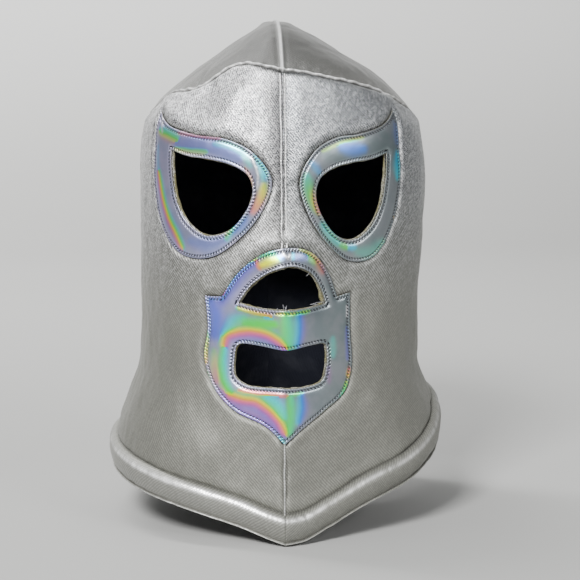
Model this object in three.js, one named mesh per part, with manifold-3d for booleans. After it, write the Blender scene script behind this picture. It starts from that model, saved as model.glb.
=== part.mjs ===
// Luchador mask: a hood of foam-backed silver cloth with holographic facings round the eyes, nose and mouth.
// Millimetres, +Z up. The face looks along -Y, and left and right are those of the picture.
// The origin is the inside of the crown's top, where the wearer's head bears.

import * as THREE from "three";
import { mergeVertices } from "three/addons/utils/BufferGeometryUtils.js";
import Module from "manifold-3d";

const wasm = await Module();
wasm.setup();

// Overall sizes of the hood, measured on the outside of the cloth
const HEIGHT = 297; // top of the crown to the front point of the hem
const WIDTH = 172; // temple to temple
const DEPTH = 212; // front to back
const HALF_GIRTH = (Math.PI / 4) * (WIDTH + DEPTH); // centre front to centre back, round one side

// Cloth, facings and seams
const CLOTH_THICKNESS = 2.6;
const FACING_THICKNESS = 1.0;
const PIECE_GAP = 0.3;
const FACING_GAP = 0.4; // facings and strips over the cloth
const HEM_BAND_HEIGHT = 18;
const HEM_BAND_THICKNESS = 6.6;
const STRIP_WIDTH = 3.4;
const STRIP_THICKNESS = 0.9;

// Facings: width round the face, height, and where the inner side and the top of each one lie
const EYE_LEFT = { width: 88, height: 83, inner: 7.5, top: 53.5 };
const EYE_RIGHT = { width: 70, height: 86, inner: 10.0, top: 52.5 };
const MUZZLE = { width: 91, height: 112, left: 48.5, top: 128.5 };

// Holes: inset is how far in from the inner or left side of its facing a hole starts, drop how
// far below the facing's top
const EYE_HOLE_LEFT = { width: 56, height: 48.5, inset: 11, drop: 21 };
const EYE_HOLE_RIGHT = { width: 47, height: 49, inset: 9.5, drop: 24 };
const NOSE_HOLE = { width: 53, height: 24.5, inset: 21, drop: 10.5 };
const MOUTH_HOLE = { width: 56, height: 25.5, inset: 18.5, drop: 54.5 };

// Level sections of the hood. level is a share of HEIGHT below the top; left and right are
// half widths as shares of WIDTH / 2; front and back are reaches as shares of DEPTH; keel is
// how far the centre-front crease stands out, as a share of DEPTH.
const SECTIONS = [
  { level: 0.0, left: 0.0, right: 0.0, front: 0.0, back: 0.0, keel: 0.0 },
  { level: 0.003, left: 0.08, right: 0.09, front: 0.11, back: 0.17, keel: 0.0 },
  { level: 0.012, left: 0.125, right: 0.145, front: 0.19, back: 0.245, keel: 0.004 },
  { level: 0.03, left: 0.225, right: 0.26, front: 0.26, back: 0.31, keel: 0.01 },
  { level: 0.064, left: 0.39, right: 0.46, front: 0.33, back: 0.37, keel: 0.014 },
  { level: 0.1, left: 0.57, right: 0.67, front: 0.375, back: 0.41, keel: 0.018 },
  { level: 0.165, left: 0.83, right: 0.91, front: 0.415, back: 0.45, keel: 0.026 },
  { level: 0.212, left: 0.925, right: 1.015, front: 0.435, back: 0.465, keel: 0.032 },
  { level: 0.3, left: 0.955, right: 1.055, front: 0.45, back: 0.48, keel: 0.036 },
  { level: 0.42, left: 0.955, right: 1.045, front: 0.46, back: 0.478, keel: 0.048 },
  { level: 0.56, left: 0.955, right: 1.01, front: 0.475, back: 0.46, keel: 0.062 },
  { level: 0.68, left: 0.965, right: 1.01, front: 0.482, back: 0.445, keel: 0.058 },
  { level: 0.76, left: 1.045, right: 1.1, front: 0.488, back: 0.44, keel: 0.054 },
  { level: 0.83, left: 1.13, right: 1.165, front: 0.496, back: 0.44, keel: 0.054 },
  { level: 0.93, left: 1.18, right: 1.215, front: 0.51, back: 0.445, keel: 0.06 },
  { level: 1.02, left: 1.195, right: 1.23, front: 0.525, back: 0.455, keel: 0.062 },
];
const BOXINESS = 2.5; // 2 is an ellipse in plan
const KEEL_SPREAD = 0.3; // share of WIDTH / 2 over which the crease fades

// The seam from the middle of the forehead over the temple and down behind the side.
// run is the share of the way along it, around is a share of HALF_GIRTH, level of HEIGHT.
const PANEL_SEAM = {
  left: [
    { run: 0.0, around: 0.0, level: 0.099 },
    { run: 0.05, around: 0.05, level: 0.092 },
    { run: 0.08, around: 0.08, level: 0.087 },
    { run: 0.12, around: 0.12, level: 0.09 },
    { run: 0.17, around: 0.17, level: 0.113 },
    { run: 0.22, around: 0.22, level: 0.134 },
    { run: 0.3, around: 0.31, level: 0.142 },
    { run: 0.38, around: 0.43, level: 0.17 },
    { run: 0.45, around: 0.51, level: 0.215 },
    { run: 0.52, around: 0.555, level: 0.3 },
    { run: 0.62, around: 0.57, level: 0.42 },
    { run: 0.8, around: 0.57, level: 0.63 },
    { run: 1.0, around: 0.57, level: 0.862 },
  ],
  right: [
    { run: 0.0, around: 0.0, level: 0.099 },
    { run: 0.05, around: 0.05, level: 0.104 },
    { run: 0.11, around: 0.11, level: 0.114 },
    { run: 0.16, around: 0.16, level: 0.122 },
    { run: 0.21, around: 0.231, level: 0.134 },
    { run: 0.25, around: 0.27, level: 0.144 },
    { run: 0.31, around: 0.342, level: 0.165 },
    { run: 0.38, around: 0.43, level: 0.186 },
    { run: 0.45, around: 0.51, level: 0.228 },
    { run: 0.52, around: 0.555, level: 0.305 },
    { run: 0.62, around: 0.57, level: 0.42 },
    { run: 0.8, around: 0.57, level: 0.61 },
    { run: 1.0, around: 0.57, level: 0.815 },
  ],
};
const TEMPLE_RUN = 0.42; // where the seam turns down behind the side

// Lower edge of the hem, as shares of HALF_GIRTH and HEIGHT
const HEM_EDGE = [
  { around: 0.0, left: 1.003, right: 1.003 },
  { around: 0.03, left: 0.994, right: 1.0 },
  { around: 0.08, left: 0.975, right: 0.978 },
  { around: 0.15, left: 0.955, right: 0.942 },
  { around: 0.24, left: 0.928, right: 0.908 },
  { around: 0.33, left: 0.9, right: 0.868 },
  { around: 0.42, left: 0.878, right: 0.832 },
  { around: 0.5, left: 0.865, right: 0.815 },
  { around: 0.65, left: 0.868, right: 0.822 },
  { around: 0.82, left: 0.885, right: 0.862 },
  { around: 1.0, left: 0.895, right: 0.895 },
];

// Bulges (rise over 0) and dents of the cloth. around, level: middle, as shares of HALF_GIRTH
// and HEIGHT. long, wide: reach as shares of HEIGHT. turn: degrees the long way leans from
// upright, clockwise in the picture. rise: share of DEPTH.
const FOLDS = [
  { place: "nose", around: 0.0, level: 0.535, long: 0.1, wide: 0.075, turn: 0, rise: 0.03 },
  { place: "left brow, bulge", around: -0.1, level: 0.155, long: 0.06, wide: 0.04, turn: 20, rise: 0.012 },
  { place: "left brow, dip", around: -0.185, level: 0.14, long: 0.06, wide: 0.028, turn: 55, rise: -0.014 },
  { place: "crown, dent left", around: -0.09, level: 0.068, long: 0.04, wide: 0.022, turn: 60, rise: -0.013 },
  { place: "left seam pucker", around: -0.235, level: 0.118, long: 0.03, wide: 0.016, turn: 10, rise: -0.01 },
  { place: "left cheek, bulge", around: -0.23, level: 0.56, long: 0.16, wide: 0.05, turn: -8, rise: 0.01 },
  { place: "right cheek, bulge", around: 0.2, level: 0.56, long: 0.14, wide: 0.045, turn: 8, rise: 0.01 },
  { place: "right ear, pucker", around: 0.47, level: 0.6, long: 0.05, wide: 0.02, turn: 0, rise: -0.014 },
  { place: "left jaw, bulge", around: -0.2, level: 0.83, long: 0.07, wide: 0.1, turn: 0, rise: 0.01 },
  { place: "right jaw, hollow", around: 0.16, level: 0.84, long: 0.06, wide: 0.07, turn: 40, rise: -0.01 },
];

// How the crown panel fans: which point of the centre line faces each run of the seam.
// across is a share of HEIGHT, negative in front of the top of the crown.
const CROWN_FAN = [
  { run: 0.0, across: -0.099 },
  { run: 0.12, across: -0.02 },
  { run: 0.2, across: 0.004 },
  { run: 0.33, across: 0.04 },
  { run: 0.45, across: 0.12 },
  { run: 0.62, across: 0.34 },
  { run: 1.0, across: 0.895 },
];

// Outlines as shares of the width and height of the facing or the hole that they bound.
// across runs from the nose outwards for an eye, and from left to right for nose and mouth.
const EYE_OUTLINE = [
  { across: 1.0, down: 0.0, corner: true },
  { across: 0.8, down: 0.095 },
  { across: 0.55, down: 0.15 },
  { across: 0.32, down: 0.175 },
  { across: 0.13, down: 0.265 },
  { across: 0.0, down: 0.45 },
  { across: 0.06, down: 0.65 },
  { across: 0.22, down: 0.85 },
  { across: 0.43, down: 0.985 },
  { across: 0.66, down: 0.97 },
  { across: 0.86, down: 0.77 },
  { across: 0.955, down: 0.5 },
  { across: 0.965, down: 0.25 },
];
const EYE_HOLE_OUTLINE = [
  { across: 1.0, down: 0.0, corner: true },
  { across: 0.78, down: 0.065 },
  { across: 0.5, down: 0.1 },
  { across: 0.25, down: 0.16 },
  { across: 0.06, down: 0.285 },
  { across: 0.01, down: 0.49 },
  { across: 0.12, down: 0.76 },
  { across: 0.3, down: 0.95 },
  { across: 0.52, down: 1.0 },
  { across: 0.75, down: 0.86 },
  { across: 0.9, down: 0.61 },
  { across: 0.965, down: 0.32 },
];
const MUZZLE_OUTLINE = [
  { across: 0.0, down: 0.258, corner: true },
  { across: 0.12, down: 0.258, corner: true },
  { across: 0.23, down: 0.135 },
  { across: 0.37, down: 0.045 },
  { across: 0.55, down: 0.0 },
  { across: 0.72, down: 0.03 },
  { across: 0.83, down: 0.13 },
  { across: 0.895, down: 0.258, corner: true },
  { across: 0.99, down: 0.242, corner: true },
  { across: 0.985, down: 0.42 },
  { across: 0.99, down: 0.62 },
  { across: 0.94, down: 0.74 },
  { across: 0.78, down: 0.85 },
  { across: 0.65, down: 0.925 },
  { across: 0.533, down: 1.0, corner: true },
  { across: 0.42, down: 0.915 },
  { across: 0.2, down: 0.83 },
  { across: 0.06, down: 0.71 },
  { across: 0.0, down: 0.57 },
  { across: 0.02, down: 0.42 },
];
const NOSE_OUTLINE = [
  { across: 0.0, down: 0.88, corner: true },
  { across: 0.15, down: 0.45 },
  { across: 0.37, down: 0.12 },
  { across: 0.6, down: 0.0 },
  { across: 0.8, down: 0.14 },
  { across: 0.93, down: 0.5 },
  { across: 1.0, down: 0.9, corner: true },
  { across: 0.8, down: 0.97 },
  { across: 0.5, down: 1.0 },
  { across: 0.22, down: 0.97 },
];
const MOUTH_OUTLINE = [
  { across: 0.06, down: 0.03 },
  { across: 0.28, down: 0.05 },
  { across: 0.55, down: 0.13 },
  { across: 0.8, down: 0.06 },
  { across: 0.97, down: 0.03 },
  { across: 1.0, down: 0.18 },
  { across: 0.99, down: 0.62 },
  { across: 0.93, down: 0.9 },
  { across: 0.75, down: 1.0 },
  { across: 0.45, down: 1.0 },
  { across: 0.15, down: 0.97 },
  { across: 0.02, down: 0.8 },
  { across: 0.0, down: 0.4 },
];

const SEAM_ALLOWANCE = 0.6 * PIECE_GAP; // each panel stops this far from the line of its seam
const HEM_ROUNDNESS = 0.62; // 1 makes the roll an ellipse in section, 0 a rectangle
const CROWN_CROWDING = 1.4; // over 1 draws the crown's columns towards the centre line
const FOLDS_FADE = 0.05; // share of HEIGHT at the top of the crown in which the folds fade out

// Fineness of the faceted pieces
const FACE_COLUMNS = 18;
const FACE_ROWS = 22;
const CROWN_COLUMNS = 6;
const HEM_STEPS = 30;
const HEM_SIDES = 8;
const STEPS_PER_OUTLINE_POINT = 2;
const STRIP_STEP = 9; // along a strip, mm
const SLOPE_STEP = 0.004; // share over which the slope of the hood is taken
const CUT_INSIDE = 8; // how far a cut runs past the inner face of the hood
const CUT_OUTSIDE = 30; // and past its outer face, clear of the crease between the halves
const CREASE_REACH = 24; // beside the centre line, where a cut leans from the crease to the cloth

// Colours and finish of the materials
const SILVER_CLOTH = { color: 0xb4b4b0, roughness: 0.42, metalness: 0.55 };
const HOLOGRAM_FOIL = { color: 0x9fa6c4, roughness: 0.22, metalness: 0.8 };

// A value from a table column at t, running smoothly and without overshoot from row to row
function smoothColumn(rows, key, column, t) {
  const last = rows.length - 1;
  const at = THREE.MathUtils.clamp(t, rows[0][key], rows[last][key]);
  let i = 0;
  while (i < last - 1 && at > rows[i + 1][key]) i += 1;
  const rise = (k) => (rows[k + 1][column] - rows[k][column]) / (rows[k + 1][key] - rows[k][key]);
  const slope = (k) => {
    if (k === 0) return rise(0);
    if (k === last) return rise(last - 1);
    const before = rise(k - 1);
    const after = rise(k);
    return before * after > 0 ? (2 * before * after) / (before + after) : 0;
  };
  const span = rows[i + 1][key] - rows[i][key];
  const u = (at - rows[i][key]) / span;
  const start = (2 * u ** 3 - 3 * u ** 2 + 1) * rows[i][column] + (u ** 3 - 2 * u ** 2 + u) * span * slope(i);
  const end = (3 * u ** 2 - 2 * u ** 3) * rows[i + 1][column] + (u ** 3 - u ** 2) * span * slope(i + 1);
  return start + end;
}

const sideName = (side) => (side < 0 ? "left" : "right");

// How far the bulges and dents lift the cloth at a place, in mm. around is negative on the left.
function foldLift(around, level) {
  let lift = 0;
  for (const fold of FOLDS) {
    const across = ((around - fold.around) * HALF_GIRTH) / HEIGHT;
    const down = level - fold.level;
    const lean = THREE.MathUtils.degToRad(fold.turn);
    const along = -across * Math.sin(lean) + down * Math.cos(lean);
    const aside = across * Math.cos(lean) + down * Math.sin(lean);
    lift += fold.rise * DEPTH * Math.exp(-((along / fold.long) ** 2) - (aside / fold.wide) ** 2);
  }
  return lift;
}

// The outside of the hood. side is -1 on the left and 1 on the right, around runs from 0 at the
// centre front to 1 at the centre back, and level from 0 at the top of the crown.
function hoodPoint(side, around, level) {
  const angle = around * Math.PI;
  const [sine, cosine] = [Math.sin(angle), Math.cos(angle)];
  const column = (name) => smoothColumn(SECTIONS, "level", name, level);
  const halfWidth = (column(sideName(side)) * WIDTH) / 2;
  const keel = column("keel") * DEPTH;
  const reach = cosine > 0 ? column("front") * DEPTH - keel : column("back") * DEPTH;
  const smallest = 1e-6;
  const shareX = (Math.abs(sine) / (halfWidth + smallest)) ** BOXINESS;
  const shareY = (Math.abs(cosine) / (reach + smallest)) ** BOXINESS;
  const lift = foldLift(side * around, level) * Math.min(1, level / FOLDS_FADE);
  const radius = (shareX + shareY) ** (-1 / BOXINESS) + lift;
  const x = radius * Math.abs(sine);
  const crease = keel * Math.exp(-x / ((KEEL_SPREAD * WIDTH) / 2)) * Math.sqrt(Math.max(cosine, 0));
  return new THREE.Vector3(side * x, -radius * cosine - crease, CLOTH_THICKNESS - level * HEIGHT);
}

// The way out of the cloth at a place. On the centre line it lies in the plane between the halves.
function hoodNormal(side, around, level) {
  const a = THREE.MathUtils.clamp(around, SLOPE_STEP, 1 - SLOPE_STEP);
  const l = Math.max(level, 2 * SLOPE_STEP);
  const acrossWay = hoodPoint(side, a + SLOPE_STEP, l).sub(hoodPoint(side, a - SLOPE_STEP, l));
  const downWay = hoodPoint(side, a, l + SLOPE_STEP).sub(hoodPoint(side, a, l - SLOPE_STEP));
  const normal = downWay.cross(acrossWay).multiplyScalar(side);
  const centre = Math.min(around, 1 - around) < 1e-6;
  if (centre) normal.x = 0;
  return normal.normalize();
}

// A point of one half of the mask, rise mm outside the cloth. The halves stand a gap apart.
function lay(side, around, level, rise) {
  const point = hoodPoint(side, around, level).addScaledVector(hoodNormal(side, around, level), rise);
  point.x = side * Math.max(side * point.x, 0) + (side * PIECE_GAP) / 2;
  return point;
}

const hemLevel = (side, around) => smoothColumn(HEM_EDGE, "around", sideName(side), around);
const bandTop = (side, around) => hemLevel(side, around) - HEM_BAND_HEIGHT / HEIGHT;
const clothEnd = (side, around) => bandTop(side, around) - PIECE_GAP / HEIGHT;

// A place on the seam between face and crown panel, moved away from the centre front by aside mm.
// Below the temple it is stretched to end where the cloth meets the hem band.
function seamPlace(side, run, aside = 0) {
  const rows = PANEL_SEAM[sideName(side)];
  const tableLevel = (r) => smoothColumn(rows, "run", "level", r);
  const [templeLevel, lowest] = [tableLevel(TEMPLE_RUN), rows.at(-1)];
  const stretch = (clothEnd(side, lowest.around) - templeLevel) / (lowest.level - templeLevel);
  const place = (r) => {
    const level = r > TEMPLE_RUN ? templeLevel + (tableLevel(r) - templeLevel) * stretch : tableLevel(r);
    return [smoothColumn(rows, "run", "around", r) * HALF_GIRTH, level * HEIGHT];
  };
  const [x, y] = place(run);
  const [x0, y0] = place(Math.max(run - 0.01, 0));
  const [x1, y1] = place(Math.min(run + 0.01, 1));
  const length = Math.hypot(x1 - x0, y1 - y0);
  const around = run === 0 ? 0 : (x + ((y1 - y0) / length) * aside) / HALF_GIRTH;
  return { around, level: (y - ((x1 - x0) / length) * aside) / HEIGHT };
}

// Where the seam is sampled, alike for the panels on both sides of it
const seamRuns = [];
for (let i = 0; i < FACE_COLUMNS; i += 1) seamRuns.push((TEMPLE_RUN * i) / FACE_COLUMNS);
for (let j = 0; j <= FACE_ROWS; j += 1) seamRuns.push(TEMPLE_RUN + ((1 - TEMPLE_RUN) * j) / FACE_ROWS);

const between = (from, to, share) => from + (to - from) * share;

// Places of a face panel: rows from the seam to the hem, columns from the centre to the side seam
function facePlaces(side) {
  const top = (u) => seamPlace(side, u * TEMPLE_RUN, -SEAM_ALLOWANCE);
  const edge = (v) => seamPlace(side, between(TEMPLE_RUN, 1, v), -SEAM_ALLOWANCE);
  const corner = { near: top(0), far: top(1), low: edge(1) };
  const hem = (u) => {
    const around = corner.low.around * u;
    return { around, level: clothEnd(side, around) };
  };
  const centre = (v) => ({ around: 0, level: between(corner.near.level, hem(0).level, v) });
  const blend = (u, v, name) => {
    const sides = between(centre(v)[name], edge(v)[name], u);
    const ends = between(top(u)[name], hem(u)[name], v);
    const nearCorners = between(corner.near[name], corner.far[name], u);
    const lowCorners = between(hem(0)[name], hem(1)[name], u);
    return sides + ends - between(nearCorners, lowCorners, v);
  };
  const rows = [];
  for (let j = 0; j <= FACE_ROWS; j += 1) {
    const row = [];
    for (let i = 0; i <= FACE_COLUMNS; i += 1) {
      const u = i / FACE_COLUMNS;
      const v = j / FACE_ROWS;
      row.push({ side, around: i === 0 ? 0 : blend(u, v, "around"), level: blend(u, v, "level") });
    }
    rows.push(row);
  }
  return rows;
}

// Places of a crown panel, laid out on a disc round the top of the crown: rows follow the seam
// from the forehead down to the hem, columns run from the seam to the centre line
function crownPlaces(side) {
  const rows = [];
  const ends = clothEnd(side, 1);
  for (const run of seamRuns) {
    const seam = seamPlace(side, run, SEAM_ALLOWANCE);
    const fan = smoothColumn(CROWN_FAN, "run", "across", run);
    const centre = fan > 0 ? (fan * ends) / CROWN_FAN.at(-1).across : fan;
    const row = [];
    for (let i = 0; i <= CROWN_COLUMNS; i += 1) {
      const share = 1 - (1 - i / CROWN_COLUMNS) ** CROWN_CROWDING;
      const angle = seam.around * Math.PI;
      const x = between(seam.level * Math.sin(angle), 0, share);
      const y = between(-seam.level * Math.cos(angle), centre, share);
      const onCentre = i === CROWN_COLUMNS || run === 0;
      let around = Math.atan2(x, -y) / Math.PI;
      if (onCentre) around = y > 0 ? 1 : 0;
      let level = Math.hypot(x, y);
      if (run === 1) level = clothEnd(side, around);
      row.push({ side, around, level });
    }
    rows.push(row);
  }
  return rows;
}

// A closed geometry with its shared points merged and its empty triangles dropped
function solidFromTriangles(points, triangles) {
  const geometry = new THREE.BufferGeometry();
  const positions = new Float32Array(points.flatMap((p) => [p.x, p.y, p.z]));
  geometry.setAttribute("position", new THREE.BufferAttribute(positions, 3));
  geometry.setIndex(triangles.flat());
  const merged = mergeVertices(geometry, 1e-4);
  const index = merged.index.array;
  const kept = [];
  for (let k = 0; k < index.length; k += 3) {
    const [a, b, c] = [index[k], index[k + 1], index[k + 2]];
    if (a !== b && b !== c && c !== a) kept.push(a, b, c);
  }
  merged.setIndex(kept);
  return merged;
}

// A sheet of cloth over a grid of places, from rise low to rise high outside the hood
function sheetOver(places, low, high) {
  const rowsCount = places.length;
  const columns = places[0].length;
  const layer = (rise) => places.flat().map((p) => lay(p.side, p.around, p.level, rise));
  const points = [...layer(low), ...layer(high)];
  const top = rowsCount * columns;
  const at = (j, i) => j * columns + i;
  const triangles = [];
  const quad = (a, b, c, d) => triangles.push([a, b, c], [a, c, d]);
  for (let j = 0; j + 1 < rowsCount; j += 1) {
    for (let i = 0; i + 1 < columns; i += 1) {
      const [a, b, c, d] = [at(j, i), at(j, i + 1), at(j + 1, i + 1), at(j + 1, i)];
      quad(a, b, c, d);
      quad(d + top, c + top, b + top, a + top);
    }
  }
  const rim = [];
  for (let i = 0; i < columns; i += 1) rim.push(at(0, i));
  for (let j = 1; j < rowsCount; j += 1) rim.push(at(j, columns - 1));
  for (let i = columns - 2; i >= 0; i -= 1) rim.push(at(rowsCount - 1, i));
  for (let j = rowsCount - 2; j > 0; j -= 1) rim.push(at(j, 0));
  rim.forEach((a, k) => {
    const b = rim[(k + 1) % rim.length];
    quad(b, a, a + top, b + top);
  });
  return solidFromTriangles(points, triangles);
}

// Signed volume, to turn a solid the right way out
function volumeOf(geometry) {
  const index = geometry.index.array;
  const position = geometry.attributes.position;
  const corner = (k) => new THREE.Vector3().fromBufferAttribute(position, index[k]);
  let sum = 0;
  for (let k = 0; k < index.length; k += 3) sum += corner(k).dot(corner(k + 1).cross(corner(k + 2)));
  return sum / 6;
}

function facingOut(geometry) {
  if (volumeOf(geometry) > 0) return geometry;
  const index = Array.from(geometry.index.array);
  for (let k = 0; k < index.length; k += 3) [index[k + 1], index[k + 2]] = [index[k + 2], index[k + 1]];
  geometry.setIndex(index);
  return geometry;
}

function toManifold(geometry) {
  const solid = facingOut(geometry);
  return new wasm.Manifold(
    new wasm.Mesh({
      numProp: 3,
      vertProperties: new Float32Array(solid.attributes.position.array),
      triVerts: new Uint32Array(solid.index.array),
    }),
  );
}

function toGeometry(manifold) {
  const mesh = manifold.getMesh();
  const geometry = new THREE.BufferGeometry();
  geometry.setAttribute("position", new THREE.BufferAttribute(new Float32Array(mesh.vertProperties), 3));
  geometry.setIndex(Array.from(mesh.triVerts));
  return geometry;
}

// The points of an outline, a smooth curve from corner to corner, as shares of its box
function outlineShares(rows) {
  const first = Math.max(rows.findIndex((row) => row.corner), 0);
  const ring = rows.map((_, k) => rows[(first + k) % rows.length]);
  const closedSmooth = !ring[0].corner;
  if (closedSmooth) {
    const curve = new THREE.CatmullRomCurve3(ring.map((r) => new THREE.Vector3(r.across, r.down, 0)), true);
    return curve.getPoints(rows.length * STEPS_PER_OUTLINE_POINT).slice(0, -1);
  }
  const shares = [];
  let start = 0;
  while (start < ring.length) {
    let stop = start + 1;
    while (stop < ring.length && !ring[stop].corner) stop += 1;
    const span = [];
    for (let k = start; k <= stop; k += 1) span.push(ring[k % ring.length]);
    const straight = span.length === 2;
    const steps = straight ? 2 : (span.length - 1) * STEPS_PER_OUTLINE_POINT;
    const curve = new THREE.CatmullRomCurve3(span.map((r) => new THREE.Vector3(r.across, r.down, 0)));
    shares.push(...curve.getPoints(steps).slice(0, -1));
    start = stop;
  }
  return shares;
}

// An outline on the hood, as signed mm round the face from the centre front and mm below the top
const eyeOutline = (side, rows, box) =>
  outlineShares(rows).map(({ x, y }) => ({
    across: side * (box.inner + x * box.width),
    down: box.top + y * box.height,
  }));
const middleOutline = (rows, box) =>
  outlineShares(rows).map(({ x, y }) => ({
    across: x * box.width - box.left,
    down: box.top + y * box.height,
  }));

// A solid that cuts through the cloth along an outline, square to the cloth and, beside the
// centre line, straight ahead
function cutter(outline) {
  const ring = (rise) =>
    outline.map(({ across, down }) => {
      const side = across < 0 ? -1 : 1;
      const [around, level] = [Math.abs(across) / HALF_GIRTH, down / HEIGHT];
      const way = hoodNormal(side, around, level);
      way.x *= Math.min(1, Math.abs(across) / CREASE_REACH);
      return hoodPoint(side, around, level).addScaledVector(way.normalize(), rise);
    });
  const points = [...ring(-CUT_INSIDE), ...ring(CUT_OUTSIDE)];
  const count = outline.length;
  const flat = outline.map(({ across, down }) => new THREE.Vector2(across, down));
  const caps = THREE.ShapeUtils.triangulateShape(flat, []);
  const triangles = [];
  for (const [a, b, c] of caps) triangles.push([a, b, c], [c + count, b + count, a + count]);
  for (let k = 0; k < count; k += 1) {
    const next = (k + 1) % count;
    triangles.push([k, next, next + count], [k, next + count, k + count]);
  }
  return toManifold(solidFromTriangles(points, orient(triangles)));
}

// Turns the triangles of a closed solid so that all agree with the first one
function orient(triangles) {
  const owners = new Map();
  const key = (a, b) => (a < b ? `${a}-${b}` : `${b}-${a}`);
  triangles.forEach((t, n) => {
    for (let k = 0; k < 3; k += 1) {
      const name = key(t[k], t[(k + 1) % 3]);
      owners.set(name, [...(owners.get(name) ?? []), n]);
    }
  });
  const done = new Set([0]);
  const waiting = [0];
  while (waiting.length) {
    const n = waiting.pop();
    const t = triangles[n];
    for (let k = 0; k < 3; k += 1) {
      const [a, b] = [t[k], t[(k + 1) % 3]];
      for (const m of owners.get(key(a, b))) {
        if (done.has(m)) continue;
        const other = triangles[m];
        const sameWay = [0, 1, 2].some((q) => other[q] === a && other[(q + 1) % 3] === b);
        if (sameWay) triangles[m] = [other[2], other[1], other[0]];
        done.add(m);
        waiting.push(m);
      }
    }
  }
  return triangles;
}

// The holes, each cut through the cloth and its facing alike
const eyeFacing = (side) => (side < 0 ? EYE_LEFT : EYE_RIGHT);
const eyeHoleBox = (side) => {
  const [facing, hole] = [eyeFacing(side), side < 0 ? EYE_HOLE_LEFT : EYE_HOLE_RIGHT];
  return { ...hole, inner: facing.inner + hole.inset, top: facing.top + hole.drop };
};
const muzzleHoleBox = (hole) => ({
  ...hole,
  left: MUZZLE.left - hole.inset,
  top: MUZZLE.top + hole.drop,
});
const eyeHole = (side) => cutter(eyeOutline(side, EYE_HOLE_OUTLINE, eyeHoleBox(side)));
const noseHole = () => cutter(middleOutline(NOSE_OUTLINE, muzzleHoleBox(NOSE_HOLE)));
const mouthHole = () => cutter(middleOutline(MOUTH_OUTLINE, muzzleHoleBox(MOUTH_HOLE)));

function facePanel(side) {
  const cloth = toManifold(sheetOver(facePlaces(side), -CLOTH_THICKNESS, 0));
  return toGeometry(cloth.subtract(eyeHole(side)).subtract(noseHole()).subtract(mouthHole()));
}

function crownPanel(side) {
  return facingOut(sheetOver(crownPlaces(side), -CLOTH_THICKNESS, 0));
}

const facingLow = FACING_GAP;
const facingHigh = FACING_GAP + FACING_THICKNESS;

function eyeTrim(side) {
  const outline = eyeOutline(side, EYE_OUTLINE, eyeFacing(side));
  const foil = toManifold(sheetOver(facePlaces(side), facingLow, facingHigh));
  return toGeometry(foil.intersect(cutter(outline)).subtract(eyeHole(side)));
}

function noseMouthTrim() {
  const left = facePlaces(-1);
  const right = facePlaces(1);
  const places = left.map((row, j) => [...row.slice().reverse(), ...right[j].slice(1)]);
  const foil = toManifold(sheetOver(places, facingLow, facingHigh));
  const outline = cutter(middleOutline(MUZZLE_OUTLINE, MUZZLE));
  return toGeometry(foil.intersect(outline).subtract(noseHole()).subtract(mouthHole()));
}

// The padded hem: a rounded roll from the centre front to the centre back
function hemBand(side) {
  const points = [];
  const middleRise = -CLOTH_THICKNESS / 2;
  for (let j = 0; j <= HEM_STEPS; j += 1) {
    const around = j / HEM_STEPS;
    const middle = bandTop(side, around) + HEM_BAND_HEIGHT / 2 / HEIGHT;
    for (let k = 0; k < HEM_SIDES; k += 1) {
      const angle = ((k + 0.5) / HEM_SIDES) * 2 * Math.PI;
      const swell = (value) => Math.sign(value) * Math.abs(value) ** HEM_ROUNDNESS;
      const rise = middleRise + (swell(Math.cos(angle)) * HEM_BAND_THICKNESS) / 2;
      const level = middle + (swell(Math.sin(angle)) * HEM_BAND_HEIGHT) / 2 / HEIGHT;
      points.push(lay(side, around, level, rise));
    }
  }
  const triangles = [];
  for (let j = 0; j < HEM_STEPS; j += 1) {
    for (let k = 0; k < HEM_SIDES; k += 1) {
      const [a, b] = [j * HEM_SIDES + k, j * HEM_SIDES + ((k + 1) % HEM_SIDES)];
      triangles.push([a, b, b + HEM_SIDES], [a, b + HEM_SIDES, a + HEM_SIDES]);
    }
  }
  const end = HEM_STEPS * HEM_SIDES;
  for (let k = 1; k + 1 < HEM_SIDES; k += 1) triangles.push([0, k + 1, k], [end, end + k, end + k + 1]);
  return facingOut(solidFromTriangles(points, triangles));
}

// The strip stitched down over the front centre seam, from one level to another
function seamStrip(fromLevel, toLevel) {
  const reach = STRIP_WIDTH / 2 / HALF_GIRTH;
  const rows = [];
  const steps = Math.ceil(((toLevel - fromLevel) * HEIGHT) / STRIP_STEP);
  for (let j = 0; j <= steps; j += 1) {
    const level = between(fromLevel, toLevel, j / steps);
    rows.push([
      { side: -1, around: reach, level },
      { side: 1, around: 0, level },
      { side: 1, around: reach, level },
    ]);
  }
  return facingOut(sheetOver(rows, FACING_GAP, FACING_GAP + STRIP_THICKNESS));
}

const muzzleTop = MUZZLE.top / HEIGHT;
const muzzleTip = (MUZZLE.top + MUZZLE.height) / HEIGHT;
const stripGap = (2 * PIECE_GAP) / HEIGHT;
const foreheadCentre = PANEL_SEAM.left[0].level;

const mask = new THREE.Group();
function add(name, geometry, finish) {
  const mesh = new THREE.Mesh(geometry, new THREE.MeshStandardMaterial(finish));
  mesh.name = name;
  mask.add(mesh);
}

for (const side of [-1, 1]) {
  add(`face_panel_${sideName(side)}`, facePanel(side), SILVER_CLOTH);
  add(`crown_panel_${sideName(side)}`, crownPanel(side), SILVER_CLOTH);
  add(`hem_band_${sideName(side)}`, hemBand(side), SILVER_CLOTH);
  add(`eye_trim_${sideName(side)}`, eyeTrim(side), HOLOGRAM_FOIL);
}
add("nose_mouth_trim", noseMouthTrim(), HOLOGRAM_FOIL);
add("seam_strip_upper", seamStrip(foreheadCentre + stripGap, muzzleTop - stripGap), SILVER_CLOTH);
add("seam_strip_lower", seamStrip(muzzleTip + stripGap, clothEnd(1, 0) - stripGap), SILVER_CLOTH);

export default mask;
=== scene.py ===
"""Luchador mask: a silver hood with holographic facings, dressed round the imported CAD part."""

import math
from functools import partial

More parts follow.
